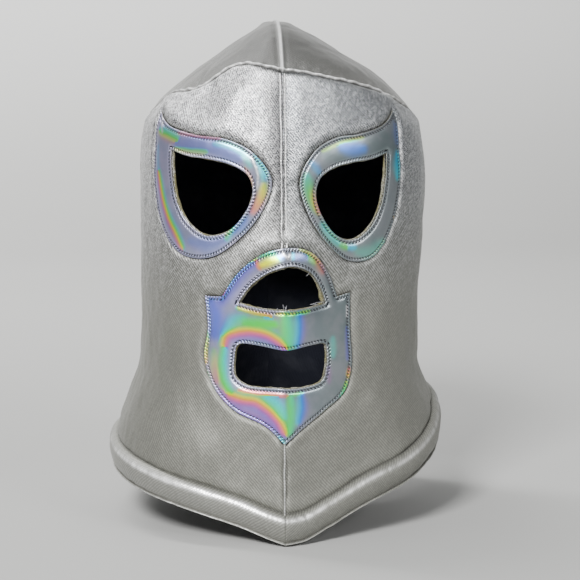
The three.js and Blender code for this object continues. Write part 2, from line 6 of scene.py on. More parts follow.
import bpy
import numpy as np
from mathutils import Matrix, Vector
from mathutils.geometry import delaunay_2d_cdt


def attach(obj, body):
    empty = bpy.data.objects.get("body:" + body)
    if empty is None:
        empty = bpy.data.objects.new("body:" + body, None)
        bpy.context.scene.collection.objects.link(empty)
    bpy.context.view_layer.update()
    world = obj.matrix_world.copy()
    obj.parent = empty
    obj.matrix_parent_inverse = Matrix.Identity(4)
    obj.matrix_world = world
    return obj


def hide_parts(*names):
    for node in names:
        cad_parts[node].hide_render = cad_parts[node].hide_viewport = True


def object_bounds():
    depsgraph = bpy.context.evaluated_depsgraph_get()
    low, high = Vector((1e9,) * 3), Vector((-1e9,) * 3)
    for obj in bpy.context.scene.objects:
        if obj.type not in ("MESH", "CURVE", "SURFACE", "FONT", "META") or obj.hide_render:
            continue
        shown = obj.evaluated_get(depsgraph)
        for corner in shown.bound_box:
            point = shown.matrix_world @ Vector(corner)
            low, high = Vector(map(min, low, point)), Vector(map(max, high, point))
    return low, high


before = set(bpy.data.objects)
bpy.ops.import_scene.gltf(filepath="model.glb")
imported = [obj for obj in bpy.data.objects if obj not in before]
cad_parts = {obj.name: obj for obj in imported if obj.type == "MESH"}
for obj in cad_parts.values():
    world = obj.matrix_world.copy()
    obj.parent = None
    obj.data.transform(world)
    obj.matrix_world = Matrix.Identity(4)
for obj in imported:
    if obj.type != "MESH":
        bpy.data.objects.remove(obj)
cad_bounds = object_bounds()

# Face panels. Two mirrored halves of 2.6 mm foam-backed silver lame, seamed down the centre front
# and over the temples to the crown panels, with raw-cut holes for eyes, nose and mouth.

# Lengths are in mm until a mesh is made. A place is mm round the face from the centre front,
# negative on the left, and mm below the top of the crown
MM = 0.001
SIDES = ((-1, "left"), (1, "right"))
HEIGHT = 297.0
WIDTH = 172.0
DEPTH = 212.0
HALF_GIRTH = math.pi / 4 * (WIDTH + DEPTH)
CLOTH_THICKNESS = 2.6
HEM_BAND_HEIGHT = 18.0
# How far the cloth reaches up behind the top of the hem
HEM_TUCK = 0.6
# 2 is an ellipse, and more is nearer to a box
BOXINESS = 2.5
# The keel is what the hood stands out by along its centre front
KEEL_FADE = 0.3 * WIDTH / 2
KEEL_ROUNDING = 3.0
SLOPE_STEP = 0.004
# Level down to which the folds fade in from the top of the crown
FOLDS_FADE = 0.05
# Level sections. Level is a share of HEIGHT, left and right of half WIDTH, front, back and keel
# of DEPTH
SECTIONS = np.array([
    (0.0, 0.0, 0.0, 0.0, 0.0, 0.0),
    (0.003, 0.08, 0.09, 0.11, 0.17, 0.0),
    (0.012, 0.125, 0.145, 0.19, 0.245, 0.004),
    (0.03, 0.225, 0.26, 0.26, 0.31, 0.01),
    (0.064, 0.39, 0.46, 0.33, 0.37, 0.014),
    (0.1, 0.57, 0.67, 0.375, 0.41, 0.018),
    (0.165, 0.83, 0.91, 0.415, 0.45, 0.026),
    (0.212, 0.925, 1.015, 0.435, 0.465, 0.032),
    (0.3, 0.955, 1.055, 0.45, 0.48, 0.036),
    (0.42, 0.955, 1.045, 0.46, 0.478, 0.048),
    (0.56, 0.955, 1.01, 0.475, 0.46, 0.062),
    (0.68, 0.965, 1.01, 0.482, 0.445, 0.058),
    (0.76, 1.045, 1.1, 0.488, 0.44, 0.054),
    (0.83, 1.13, 1.165, 0.496, 0.44, 0.054),
    (0.93, 1.18, 1.215, 0.51, 0.445, 0.06),
    (1.02, 1.195, 1.23, 0.525, 0.455, 0.062),
])
# Seam between face and crown panel on each side: run from 0 in front to 1 at the hem, around as
# a share of HALF_GIRTH, level
PANEL_SEAM = {
    -1: np.array([
        (0.0, 0.0, 0.099), (0.05, 0.05, 0.092), (0.08, 0.08, 0.087), (0.12, 0.12, 0.09),
        (0.17, 0.17, 0.113), (0.22, 0.22, 0.134), (0.3, 0.31, 0.142), (0.38, 0.43, 0.17),
        (0.45, 0.51, 0.215), (0.52, 0.555, 0.3), (0.62, 0.57, 0.42), (0.8, 0.57, 0.63),
        (1.0, 0.57, 0.862),
    ]),
    1: np.array([
        (0.0, 0.0, 0.099), (0.05, 0.05, 0.104), (0.11, 0.11, 0.114), (0.16, 0.16, 0.122),
        (0.21, 0.231, 0.134), (0.25, 0.27, 0.144), (0.31, 0.342, 0.165), (0.38, 0.43, 0.186),
        (0.45, 0.51, 0.228), (0.52, 0.555, 0.305), (0.62, 0.57, 0.42), (0.8, 0.57, 0.61),
        (1.0, 0.57, 0.815),
    ]),
}
# Past this run the seam is stretched down to meet the hem
TEMPLE_RUN = 0.42
# Lower edge of the hem: around, left, right
HEM_EDGE = np.array([
    (0.0, 1.003, 1.003), (0.03, 0.994, 1.0), (0.08, 0.975, 0.978), (0.15, 0.955, 0.942),
    (0.24, 0.933, 0.908), (0.33, 0.916, 0.868), (0.42, 0.905, 0.832), (0.5, 0.9, 0.815),
    (0.65, 0.896, 0.822), (0.82, 0.893, 0.862), (1.0, 0.895, 0.895),
])
# Main bulges and dents: around, level, long, wide, degrees of lean, rise as a share of DEPTH
FOLDS = np.array([
    (0.0, 0.535, 0.1, 0.075, 0, 0.03),
    (-0.1, 0.155, 0.06, 0.04, 20, 0.012),
    (-0.185, 0.14, 0.06, 0.028, 55, -0.014),
    (-0.09, 0.068, 0.04, 0.022, 60, -0.013),
    (-0.235, 0.118, 0.03, 0.016, 10, -0.01),
    (-0.23, 0.56, 0.16, 0.05, -8, 0.01),
    (0.2, 0.56, 0.14, 0.045, 8, 0.01),
    (0.47, 0.6, 0.05, 0.02, 0, -0.014),
    (-0.2, 0.83, 0.07, 0.1, 0, 0.01),
    (0.16, 0.84, 0.06, 0.07, 40, -0.01),
])


def along(table, column, at):
    """A table column at the given keys, running smoothly and without overshoot from row to row"""
    keys, values = table[:, 0], table[:, column]
    rises = np.diff(values) / np.diff(keys)
    slopes = np.empty(len(keys))
    slopes[0], slopes[-1] = rises[0], rises[-1]
    before, after = rises[:-1], rises[1:]
    both = before * after > 0
    slopes[1:-1] = np.where(both, 2 * before * after / np.where(both, before + after, 1), 0)
    at = np.clip(at, keys[0], keys[-1])
    i = np.clip(np.searchsorted(keys, at) - 1, 0, len(keys) - 2)
    span = keys[i + 1] - keys[i]
    u = (at - keys[i]) / span
    start = (2 * u**3 - 3 * u**2 + 1) * values[i] + (u**3 - 2 * u**2 + u) * span * slopes[i]
    end = (3 * u**2 - 2 * u**3) * values[i + 1] + (u**3 - u**2) * span * slopes[i + 1]
    return start + end


def fold_lift(around, level, folds=FOLDS):
    """How far the folds lift the cloth, in mm; around is negative on the left"""
    lift = np.zeros(np.shape(around))
    for at, height, long, wide, turn, rise in folds:
        across = (around - at) * HALF_GIRTH / HEIGHT
        down = level - height
        lean = math.radians(turn)
        lengthwise = -across * math.sin(lean) + down * math.cos(lean)
        aside = across * math.cos(lean) + down * math.sin(lean)
        lift += rise * DEPTH * np.exp(-((lengthwise / long) ** 2) - (aside / wide) ** 2)
    return lift


def hood(side, around, level):
    """Points on the outside of the hood, as the CAD part lays it out"""
    angle = around * math.pi
    sine, cosine = np.sin(angle), np.cos(angle)
    half_width = along(SECTIONS, 1, level) if side < 0 else along(SECTIONS, 2, level)
    keel = along(SECTIONS, 5, level) * DEPTH
    front = along(SECTIONS, 3, level) * DEPTH - keel
    reach = np.where(cosine > 0, front, along(SECTIONS, 4, level) * DEPTH)
    tiny = 1e-6
    share_x = (np.abs(sine) / (half_width * WIDTH / 2 + tiny)) ** BOXINESS
    share_y = (np.abs(cosine) / (reach + tiny)) ** BOXINESS
    lift = fold_lift(side * around, level) * np.minimum(1, level / FOLDS_FADE)
    radius = (share_x + share_y) ** (-1 / BOXINESS) + lift
    x = radius * np.abs(sine)
    rounded = np.hypot(x, KEEL_ROUNDING)
    crease = keel * np.exp(-rounded / KEEL_FADE) * np.sqrt(np.maximum(cosine, 0))
    return np.stack([side * x, -radius * cosine - crease, CLOTH_THICKNESS - level * HEIGHT], -1)


def unit(vectors):
    return vectors / np.maximum(np.linalg.norm(vectors, axis=-1, keepdims=True), 1e-12)


def hood_normal(side, around, level):
    """The way out of the cloth; on the centre line it lies in the plane between the halves"""
    a = np.clip(around, SLOPE_STEP, 1 - SLOPE_STEP)
    h = np.maximum(level, 2 * SLOPE_STEP)
    across_way = hood(side, a + SLOPE_STEP, h) - hood(side, a - SLOPE_STEP, h)
    down_way = hood(side, a, h + SLOPE_STEP) - hood(side, a, h - SLOPE_STEP)
    normal = np.cross(down_way, across_way) * side
    normal[np.minimum(around, 1 - around) < 1e-6, 0] = 0
    return unit(normal)


def keep_side(side, points):
    """Moves points that have crossed the centre line back onto it"""
    points[:, 0] = side * np.maximum(side * points[:, 0], 0)


def lay(side, places, rise):
    """Points of one half of the mask, rise mm outside the cloth"""
    around = np.clip(np.abs(places[:, 0]) / HALF_GIRTH, 0, 1)
    level = places[:, 1] / HEIGHT
    normal = hood_normal(side, around, level)
    points = hood(side, around, level) + normal * np.broadcast_to(rise, len(places))[:, None]
    keep_side(side, points)
    return points


def lay_both(places, rise):
    """Points of a piece that lies over both halves"""
    rise = np.broadcast_to(rise, len(places))
    points = np.empty((len(places), 3))
    for side in (-1, 1):
        own = places[:, 0] < 0 if side < 0 else places[:, 0] >= 0
        points[own] = lay(side, places[own], rise[own])
    return points


def hem_down(side, around):
    """The lower edge of the hem, mm below the top of the crown"""
    return along(HEM_EDGE, 1 if side < 0 else 2, around) * HEIGHT


def cloth_end(side, around):
    """Where the cloth ends under the top of the hem, mm below the top of the crown"""
    return hem_down(side, around) - HEM_BAND_HEIGHT + HEM_TUCK


def seam_places(side, runs, aside):
    """Places along the seam between face and crown, moved aside mm away from the centre front"""
    rows = PANEL_SEAM[side]
    temple = along(rows, 2, np.array([TEMPLE_RUN]))[0]
    lowest = rows[-1]
    stretch = (cloth_end(side, lowest[1:2])[0] / HEIGHT - temple) / (lowest[2] - temple)

    def place(run):
        level = along(rows, 2, run)
        level = np.where(run > TEMPLE_RUN, temple + (level - temple) * stretch, level)
        return np.stack([along(rows, 1, run) * HALF_GIRTH, level * HEIGHT], -1)

    here, step = place(runs), 0.01
    way = unit(place(np.minimum(runs + step, 1)) - place(np.maximum(runs - step, 0)))
    moved = here + np.stack([way[:, 1], -way[:, 0]], -1) * aside
    moved[runs == 0, 0] = 0
    return moved


def whole_seam(side, count=400):
    return seam_places(side, np.linspace(0, 1, count), 0.0)


def in_loop(points, loop):
    """Which points lie inside a closed loop"""
    found = np.zeros(len(points), dtype=bool)
    near = ((points >= loop.min(0)) & (points <= loop.max(0))).all(1)
    some = points[near]
    a, b = loop, np.roll(loop, -1, axis=0)
    rise = np.where(b[:, 1] == a[:, 1], 1e-12, b[:, 1] - a[:, 1])
    inside = []
    for few in np.array_split(some, len(some) // 4000 + 1):
        x, y = few[:, :1], few[:, 1:2]
        crosses = (a[:, 1] > y) != (b[:, 1] > y)
        at = a[:, 0] + (y - a[:, 1]) * (b[:, 0] - a[:, 0]) / rise
        inside.append((crosses & (x < at)).sum(axis=1) % 2 == 1)
    found[near] = np.concatenate(inside)
    return found


def nearest(points, line, closed=False):
    """How far points lie from a line, how far along it, and on which side: 1 on its left with
    the second axis down"""
    ends = np.vstack([line, line[:1]]) if closed else line
    way = np.diff(ends, axis=0)
    length = np.linalg.norm(way, axis=1)
    along_it = np.concatenate([[0], np.cumsum(length)])
    square = (line**2).sum(1)
    few = np.array_split(points, len(points) // 2000 + 1)
    first = np.concatenate([np.argmin(square - 2 * some @ line.T, axis=1) for some in few])
    far, run, left = np.full(len(points), np.inf), np.zeros(len(points)), np.zeros(len(points))
    for back in (0, 1):
        k = (first - back) % len(line) if closed else np.clip(first - back, 0, len(line) - 2)
        from_start = points - ends[k]
        part = np.clip((from_start * way[k]).sum(1) / np.maximum(length[k] ** 2, 1e-12), 0, 1)
        here = np.linalg.norm(from_start - part[:, None] * way[k], axis=1)
        closer = here < far
        far = np.where(closer, here, far)
        run = np.where(closer, along_it[k] + part * length[k], run)
        turn = from_start[:, 0] * way[k, 1] - from_start[:, 1] * way[k, 0]
        left = np.where(closer, np.sign(turn), left)
    return far, run, left


def distance(points, line, closed=False):
    return nearest(points, line, closed)[0]


def step_lengths(line):
    return np.linalg.norm(np.diff(line, axis=0), axis=1)


def lengths_along(line):
    """How far along a line each of its points lies"""
    return np.concatenate([[0], np.cumsum(step_lengths(line))])


def resample(line, step, closed=False):
    """A line with even steps"""
    if closed:
        line = np.vstack([line, line[:1]])
    lengths = lengths_along(line)
    count = max(int(round(lengths[-1] / step)), 2)
    at = np.linspace(0, lengths[-1], count + 1)
    even = np.stack([np.interp(at, lengths, line[:, k]) for k in range(line.shape[1])], -1)
    return even[:-1] if closed else even


def offset(loop, aside):
    """A closed loop moved aside to its left, seen with the second axis up"""
    way = unit(np.roll(loop, -1, axis=0) - np.roll(loop, 1, axis=0))
    return loop + np.stack([-way[:, 1], way[:, 0]], -1) * aside


def area_of(loop):
    x, y = loop[:, 0], loop[:, 1]
    return 0.5 * float((x * np.roll(y, -1) - np.roll(x, -1) * y).sum())


def inward(loop, k):
    """Which side of a loop the cloth is on; the first loop is its outline, the others are holes"""
    return 1 if (area_of(loop) > 0) == (k == 0) else -1


def beside(loops, row):
    """Points in a row along the inside of an outline and the outsides of its holes"""
    found = []
    for k, loop in enumerate(loops):
        moved = offset(loop, inward(loop, k) * row)
        found.append(moved[distance(moved, loop, True) > 0.9 * row])
    return np.concatenate(found)


def grid_in(loops, spacing):
    """Staggered grid points over the box of the outline"""
    low, high = loops[0].min(0), loops[0].max(0)
    across = np.arange(low[0], high[0], spacing)
    down = np.arange(low[1], high[1], spacing * math.sqrt(3) / 2)
    x, y = np.meshgrid(across, down)
    x = x + (np.arange(len(down)) % 2)[:, None] * spacing / 2
    return np.stack([x.ravel(), y.ravel()], -1)


def same(points):
    return points


def in_piece(points, loops):
    """Which points lie inside an outline and outside its holes"""
    keep = in_loop(points, loops[0])
    for hole in loops[1:]:
        keep &= ~in_loop(points, hole)
    return keep


def cut(loops, rows, fill, clear, flatten=same, unflatten=same):
    """Triangles of a pattern piece: loops are its outline and its holes, rows the distances of
    the close rows of points beside its edges, fill the points elsewhere, kept clear of the rows"""
    close = [beside(loops, row) for row in rows]
    loose = np.concatenate([*close, fill])
    gaps = [np.full(len(some), 0.8 * row) for some, row in zip(close, rows)]
    gaps = np.concatenate([*gaps, np.full(len(fill), clear)])
    flat_loops = [flatten(loop) for loop in loops]
    keep = in_piece(flatten(loose), flat_loops)
    for loop in loops:
        keep[keep] &= distance(loose[keep], loop, True) > gaps[keep]
    points = [*loops, loose[keep]]
    edges, start = [], 0
    for loop in loops:
        n = len(loop)
        edges += [(start + k, start + (k + 1) % n) for k in range(n)]
        start += n
    flat = [Vector(p) for p in flatten(np.concatenate(points)).tolist()]
    made = delaunay_2d_cdt(flat, edges, [], 0, 1e-4, False)
    flat = np.array([tuple(p) for p in made[0]])
    triangles = np.array([tuple(f) for f in made[2]])
    triangles = triangles[in_piece(flat[triangles].mean(1), flat_loops)]
    used, triangles = np.unique(triangles, return_inverse=True)
    return unflatten(flat[used]), triangles.reshape(-1, 3)


def rim_edges(triangles):
    """The open edges of a sheet, each in the direction in which its triangle runs"""
    edges = np.concatenate([triangles[:, [0, 1]], triangles[:, [1, 2]], triangles[:, [2, 0]]])
    key = np.sort(edges, axis=1) @ np.array([triangles.max() + 1, 1])
    _, first, count = np.unique(key, return_index=True, return_counts=True)
    return edges[first[count == 1]]


def ripple(points, wave, seed, waves=9):
    """A gentle unevenness between -1 and 1 with the given wavelength in mm, the same each run"""
    random = np.random.default_rng(seed)
    total = np.zeros(len(points))
    for _ in range(waves):
        way = unit(random.normal(size=3)) * 2 * math.pi / wave * random.uniform(0.6, 1.5)
        total += np.sin(points @ way + random.uniform(0, 2 * math.pi))
    return np.clip(total / math.sqrt(waves) / 1.4, -1, 1)


def bump(distances, middle, width):
    return np.exp(-(((distances - middle) / width) ** 2))


def relief(distances, bumps):
    """Ridges and valleys along a line; each is its rise, how far it lies aside, and its width"""
    return sum(rise * bump(distances, middle, width) for rise, middle, width in bumps)


def put(name, data):
    """A new object in the scene"""
    made = bpy.data.objects.new(name, data)
    bpy.context.scene.collection.objects.link(made)
    return made


def make_piece(name, points, faces, finishes, finish_of=None, uv=None, extra=None):
    """A mesh object of the given points in mm"""
    mesh = bpy.data.meshes.new(name)
    mesh.from_pydata((points * MM).tolist(), [], faces if isinstance(faces, list) else faces.tolist())
    for finish in finishes:
        mesh.materials.append(finish)
    if finish_of is not None:
        mesh.polygons.foreach_set("material_index", np.asarray(finish_of, dtype=np.int32))
    if uv is not None:
        corners = np.empty(len(mesh.loops), dtype=np.int32)
        mesh.loops.foreach_get("vertex_index", corners)
        layer = mesh.uv_layers.new(name="cloth")
        layer.data.foreach_set("uv", np.asarray(uv, dtype=np.float32)[corners].ravel())
    for key, values in (extra or {}).items():
        layer = mesh.attributes.new(key, "FLOAT", "POINT")
        layer.data.foreach_set("value", np.asarray(values, dtype=np.float32))
    mesh.shade_smooth()
    mesh.update()
    return put(name, mesh)


def shell(
    name, places, triangles, place, top, under, edge, finishes, edge_finish, uv, extra,
    top_finish=None,
):
    """A sheet with a thickness. place(places, rise) gives points, top and under are the rises of
    its two skins, edge the rounding of its rim as (outwards in mm, share of the way down). The
    last of the finishes is on the under side; edge_finish and top_finish say which are elsewhere"""
    outer, inner = place(places, top), place(places, under)
    a, b, c = (outer[triangles[:, k]] for k in range(3))
    outwards = (outer - inner)[triangles[:, 0]]
    if (np.cross(b - a, c - a) * outwards).sum() < 0:
        triangles = triangles[:, ::-1]
    rim = rim_edges(triangles)
    ring, ends = np.unique(rim, return_inverse=True)
    ends = ends.reshape(-1, 2)
    way = places[rim[:, 1]] - places[rim[:, 0]]
    normal = np.stack([way[:, 1], -way[:, 0]], -1) * turning(places, triangles)
    aside = np.zeros((len(ring), 2))
    np.add.at(aside, ends[:, 0], normal)
    np.add.at(aside, ends[:, 1], normal)
    aside = unit(aside)
    count = len(places)
    layers = [outer, inner]
    faces = [triangles, triangles[:, ::-1] + count]
    outer_finish = np.zeros(len(triangles)) if top_finish is None else top_finish
    finish_of = [outer_finish, np.full(len(triangles), len(finishes) - 1)]
    uvs = [uv, uv]
    top = np.broadcast_to(top, count)
    under = np.broadcast_to(under, count)
    rows = [ring]
    for k, (outward, share) in enumerate(edge):
        rise = top[ring] + (under[ring] - top[ring]) * share
        layers.append(place(places[ring] + aside * outward, rise))
        uvs.append(uv[ring] + aside * outward)
        rows.append(2 * count + k * len(ring) + np.arange(len(ring)))
    rows.append(ring + count)
    for high, low in zip(rows, rows[1:]):
        p, q = high[ends[:, 0]], high[ends[:, 1]]
        r, s = low[ends[:, 1]], low[ends[:, 0]]
        faces += [np.stack([q, p, s], -1), np.stack([q, s, r], -1)]
        finish_of += [edge_finish(places[rim[:, 0]])] * 2
    extras = {
        key: np.concatenate([values, values, *[values[ring]] * len(edge)])
        for key, values in extra.items()
    }
    return make_piece(
        name, np.concatenate(layers), np.concatenate(faces), finishes,
        np.concatenate(finish_of), np.concatenate(uvs), extras,
    )


def turning(places, triangles):
    """1 where the triangles turn as the two axes do, -1 where they turn the other way"""
    a, b, c = (places[triangles[:, k]] for k in range(3))
    u, v = b - a, c - a
    return 1 if (u[:, 0] * v[:, 1] - u[:, 1] * v[:, 0]).sum() > 0 else -1


class Strand:
    """A shader socket on which sums can be written; each one adds its Math node"""

    def __init__(self, tree, socket=None):
        self.tree = tree
        self.socket = socket

    def node(self, kind, settings=None, values=None, output=0):
        """Adds a node: its settings are set first, then its sockets are given values or links"""
        made = self.tree.nodes.new(kind)
        for name, setting in (settings or {}).items():
            if name == "stops":
                stops = made.color_ramp.elements
                while len(stops) < len(setting):
                    stops.new(1.0)
                for stop, (position, colour) in zip(stops, setting):
                    stop.position = position
                    stop.color = (*colour, 1.0)
            else:
                setattr(made, name, setting)
        for name, value in (values or {}).items():
            if isinstance(value, Strand):
                self.tree.links.new(value.socket, made.inputs[name])
            else:
                made.inputs[name].default_value = value
        return Strand(self.tree, made.outputs[output] if made.outputs else None)

    def maths(self, operation, first, second=0.0):
        return self.node("ShaderNodeMath", {"operation": operation}, {0: first, 1: second})

    def mix(self, share, first, second):
        """A blend of two colours"""
        first, second = ((*part, 1) if isinstance(part, tuple) else part for part in (first, second))
        settings = {"data_type": "RGBA"}
        return self.node("ShaderNodeMix", settings, {0: share, 6: first, 7: second}, 2)

    def attribute(self, name):
        return self.node("ShaderNodeAttribute", {"attribute_name": name}, {}, 2)

    def place(self):
        return self.node("ShaderNodeTexCoord", {}, {}, 3)

    def cloth_place(self):
        return self.node("ShaderNodeUVMap", {"uv_map": "cloth"})

    def noise(self, at, scale, detail):
        return self.node("ShaderNodeTexNoise", {}, {"Vector": at, "Scale": scale, "Detail": detail})

    def part(self, k):
        """One of the three numbers of a vector"""
        return self.node("ShaderNodeSeparateXYZ", {}, {0: self}, k)

    def pair(self, first, second):
        return self.node("ShaderNodeCombineXYZ", {}, {0: first, 1: second})

    def sine(self):
        return self.maths("SINE", self)

    def whole(self):
        return self.maths("FLOOR", self)

    def ramp(self, low, high):
        """0 below low and 1 above high, smoothly"""
        settings = {"interpolation_type": "SMOOTHSTEP"}
        return self.node("ShaderNodeMapRange", settings, {0: self, 1: low, 2: high})

    def __add__(self, other):
        return self.maths("ADD", self, other)

    def __radd__(self, other):
        return self.maths("ADD", other, self)

    def __sub__(self, other):
        return self.maths("SUBTRACT", self, other)

    def __rsub__(self, other):
        return self.maths("SUBTRACT", other, self)

    def __mul__(self, other):
        return self.maths("MULTIPLY", self, other)

    def __rmul__(self, other):
        return self.maths("MULTIPLY", other, self)


def start_material(name):
    material = bpy.data.materials.new(name)
    material.use_nodes = True
    material.node_tree.nodes.clear()
    return material, Strand(material.node_tree)


def finish_material(begin, height, strength, depth, values):
    """Closes a material with a bump and its surface"""
    sockets = {"Strength": strength, "Distance": depth, "Height": height}
    dents = begin.node("ShaderNodeBump", {}, sockets)
    surface = begin.node("ShaderNodeBsdfPrincipled", {}, {**values, "Normal": dents})
    begin.node("ShaderNodeOutputMaterial", {}, {"Surface": surface})


YARN_PITCH = 1.35
FLOAT_LENGTH = 1.0
# Cosine and sine of the slant of the twill
TWILL = (0.77, 0.64)
# Heights in m between which the cloth turns to its upper look, its lower part painted darker as painted
# shade, and the crown to its painted dark top
UPPER_LOOK_AND_LIGHT = (-0.18, -0.06)
SHADED_TOP = (-0.06, -0.01)


def silver_cloth(name, upper, lower, sparkle, metal, top_shade):
    """Lame: flat metal yarns floating over a grey ground in a slanting twill, each catching the
    light by itself. upper and lower are the pale and the dark colour of its upper and lower parts,
    the lower ones darker as painted shade; sparkle how strongly single yarns get painted glints,
    metal how metallic it is and top_shade how much painted shade darkens its top. Its crest
    attribute paints highlight up to 1 on ridges, and shade down to -1 in seams and along edges"""
    material, begin = start_material(name)
    flat, place = begin.cloth_place(), begin.place()
    stray = begin.noise(flat, 0.12, 2.0)
    u, v = flat.part(0), flat.part(1)
    across = (u * TWILL[0] - v * TWILL[1] + stray * 0.8) * (1 / YARN_PITCH)
    length = (u * TWILL[1] + v * TWILL[0]) * (1 / FLOAT_LENGTH) + across.whole() * 0.5
    rib = (across * (2 * math.pi)).sine() * 0.5 + 0.5
    float_end = (length * (2 * math.pi)).sine() * 0.5 + 0.5
    cell = begin.pair(across.whole(), length.whole())
    lucky = begin.node("ShaderNodeTexWhiteNoise", {"noise_dimensions": "2D"}, {"Vector": cell})
    dust = begin.noise(flat, 1.8, 1.0)
    cloud = begin.noise(place, 24.0, 3.0)
    crest = begin.attribute("crest")
    height = place.part(2)
    low = 1 - height.ramp(*UPPER_LOOK_AND_LIGHT)
    speckle = dust.ramp(0.42, 0.58) * (0.34 - low * 0.28)
    weave = rib * (0.12 + low * 0.18 + float_end * 0.36) + lucky * 0.26 + speckle
    # The lower cloth gets darker colours: painted shade
    pale, dark = (begin.mix(low, above, below) for above, below in zip(upper, lower))
    colour = begin.mix(weave.ramp(0.2, 0.74), dark, pale)
    # Painted glints: single yarns in the upper cloth turned near white
    painted_glint = lucky.ramp(0.6, 1.0) * float_end * (1 - low) * sparkle
    colour = begin.mix(painted_glint, colour, (0.98, 0.98, 0.99))
    colour = begin.mix(cloud.ramp(0.4, 0.8) * 0.22, colour, dark)
    # Painted shade: the top of the crown darkened
    colour = begin.mix(height.ramp(*SHADED_TOP) * top_shade, colour, (0.07, 0.07, 0.066))
    # Painted highlight where crest is above 0, on ridges, and painted shade where it is below 0, in
    # seams and along edges
    colour = begin.mix(crest * (0.7 + weave * 0.3), colour, (0.97, 0.97, 0.96))
    colour = begin.mix(crest * -1.0, colour, (0.035, 0.035, 0.035))
    wear_and_painted_light = crest.ramp(0.2, 0.8)
    finish_material(begin, weave * 0.8 + dust * 0.3, 0.45 - low * 0.22, 0.0005, {
        "Base Color": colour,
        "Metallic": (1 - low * 0.35) * (1 - wear_and_painted_light * 0.35) * metal,
        "Roughness": 0.3 + dust * 0.1 + low * (1 - wear_and_painted_light) * 0.17 - wear_and_painted_light * 0.08,
        "Sheen Weight": 0.06,
        "Sheen Roughness": 0.5,
    })
    return material


def foam_edge():
    """Cut edge of the cloth: tan foam under a pale film of cloth"""
    material, begin = start_material("cut_foam")
    place = begin.place()
    cells = begin.noise(place, 1500.0, 3.0)
    patches = begin.noise(place, 160.0, 2.0)
    colour = begin.mix(patches.ramp(0.4, 0.62), (0.22, 0.2, 0.09), (0.36, 0.35, 0.3))
    colour = begin.mix(cells.ramp(0.35, 0.7), (0.08, 0.075, 0.04), colour)
    finish_material(begin, cells, 0.6, 0.0006, {"Base Color": colour, "Roughness": 0.92})
    return material


def dark_lining():
    """Charcoal knit laminated to the inside of the foam"""
    material, begin = start_material("charcoal_knit")
    flat = begin.cloth_place()
    loops = (flat.part(0) * 5.5).sine() * (flat.part(1) * 4.2).sine() * 0.5 + 0.5
    wear_and_painted_light = begin.noise(flat, 0.05, 3.0)
    knit = begin.mix(loops, (0.008, 0.009, 0.015), (0.018, 0.02, 0.031))
    colour = begin.mix(wear_and_painted_light.ramp(0.4, 0.7), knit, (0.03, 0.032, 0.042))
    finish_material(begin, loops, 0.4, 0.0003, {
        "Base Color": colour,
        "Roughness": 0.9,
        "Specular IOR Level": 0.2,
    })
    return material


# Colours of the lower cloth, darker than the upper ones as painted shade
LOWER_LAME_SHADED = ((0.25, 0.25, 0.218), (0.145, 0.145, 0.127))
LAME = silver_cloth(
    "silver_lame", ((0.9, 0.9, 0.91), (0.07, 0.07, 0.075)), LOWER_LAME_SHADED,
    sparkle=0.6, metal=0.88, top_shade=0.0,
)
# The right half is the same cloth painted darker and with fewer glints: painted shade on the half turned
# away from the light
LAME_SHADED_RIGHT = silver_cloth(
    "silver_lame_shaded_right", ((0.66, 0.68, 0.705), (0.06, 0.065, 0.07)), LOWER_LAME_SHADED,
    sparkle=0.3, metal=0.88, top_shade=0.0,
)
FOAM, LINING = foam_edge(), dark_lining()

# Outlines as shares of a facing's or hole's box: across, down, 1 where the outline has a corner
EYE_FACING = np.array([
    (1.0, 0.0, 1), (0.8, 0.095, 0), (0.55, 0.15, 0), (0.32, 0.175, 0), (0.13, 0.265, 0),
    (0.0, 0.45, 0), (0.06, 0.65, 0), (0.22, 0.85, 0), (0.43, 0.985, 0), (0.66, 0.97, 0),
    (0.86, 0.77, 0), (0.955, 0.5, 0), (0.965, 0.25, 0),
])
EYE_HOLE = np.array([
    (1.0, 0.0, 1), (0.78, 0.065, 0), (0.5, 0.1, 0), (0.25, 0.16, 0), (0.06, 0.285, 0),
    (0.01, 0.49, 0), (0.12, 0.76, 0), (0.3, 0.95, 0), (0.52, 1.0, 0), (0.75, 0.86, 0),
    (0.9, 0.61, 0), (0.965, 0.32, 0),
])
MUZZLE = np.array([
    (0.0, 0.258, 1), (0.12, 0.258, 1), (0.23, 0.135, 0), (0.37, 0.045, 0), (0.55, 0.0, 0),
    (0.72, 0.03, 0), (0.83, 0.13, 0), (0.895, 0.258, 1), (0.99, 0.242, 1), (0.985, 0.42, 0),
    (0.99, 0.62, 0), (0.94, 0.74, 0), (0.78, 0.85, 0), (0.65, 0.925, 0), (0.533, 1.0, 1),
    (0.42, 0.915, 0), (0.2, 0.83, 0), (0.06, 0.71, 0), (0.0, 0.57, 0), (0.02, 0.42, 0),
])
NOSE_HOLE = np.array([
    (0.0, 0.88, 1), (0.15, 0.45, 0), (0.37, 0.12, 0), (0.6, 0.0, 0), (0.8, 0.14, 0),
    (0.93, 0.5, 0), (1.0, 0.9, 1), (0.8, 0.97, 0), (0.5, 1.0, 0), (0.22, 0.97, 0),
])
MOUTH_HOLE = np.array([
    (0.06, 0.03, 0), (0.28, 0.05, 0), (0.55, 0.13, 0), (0.8, 0.06, 0), (0.97, 0.03, 0),
    (1.0, 0.18, 0), (0.99, 0.62, 0), (0.93, 0.9, 0), (0.75, 1.0, 0), (0.45, 1.0, 0),
    (0.15, 0.97, 0), (0.02, 0.8, 0), (0.0, 0.4, 0),
])
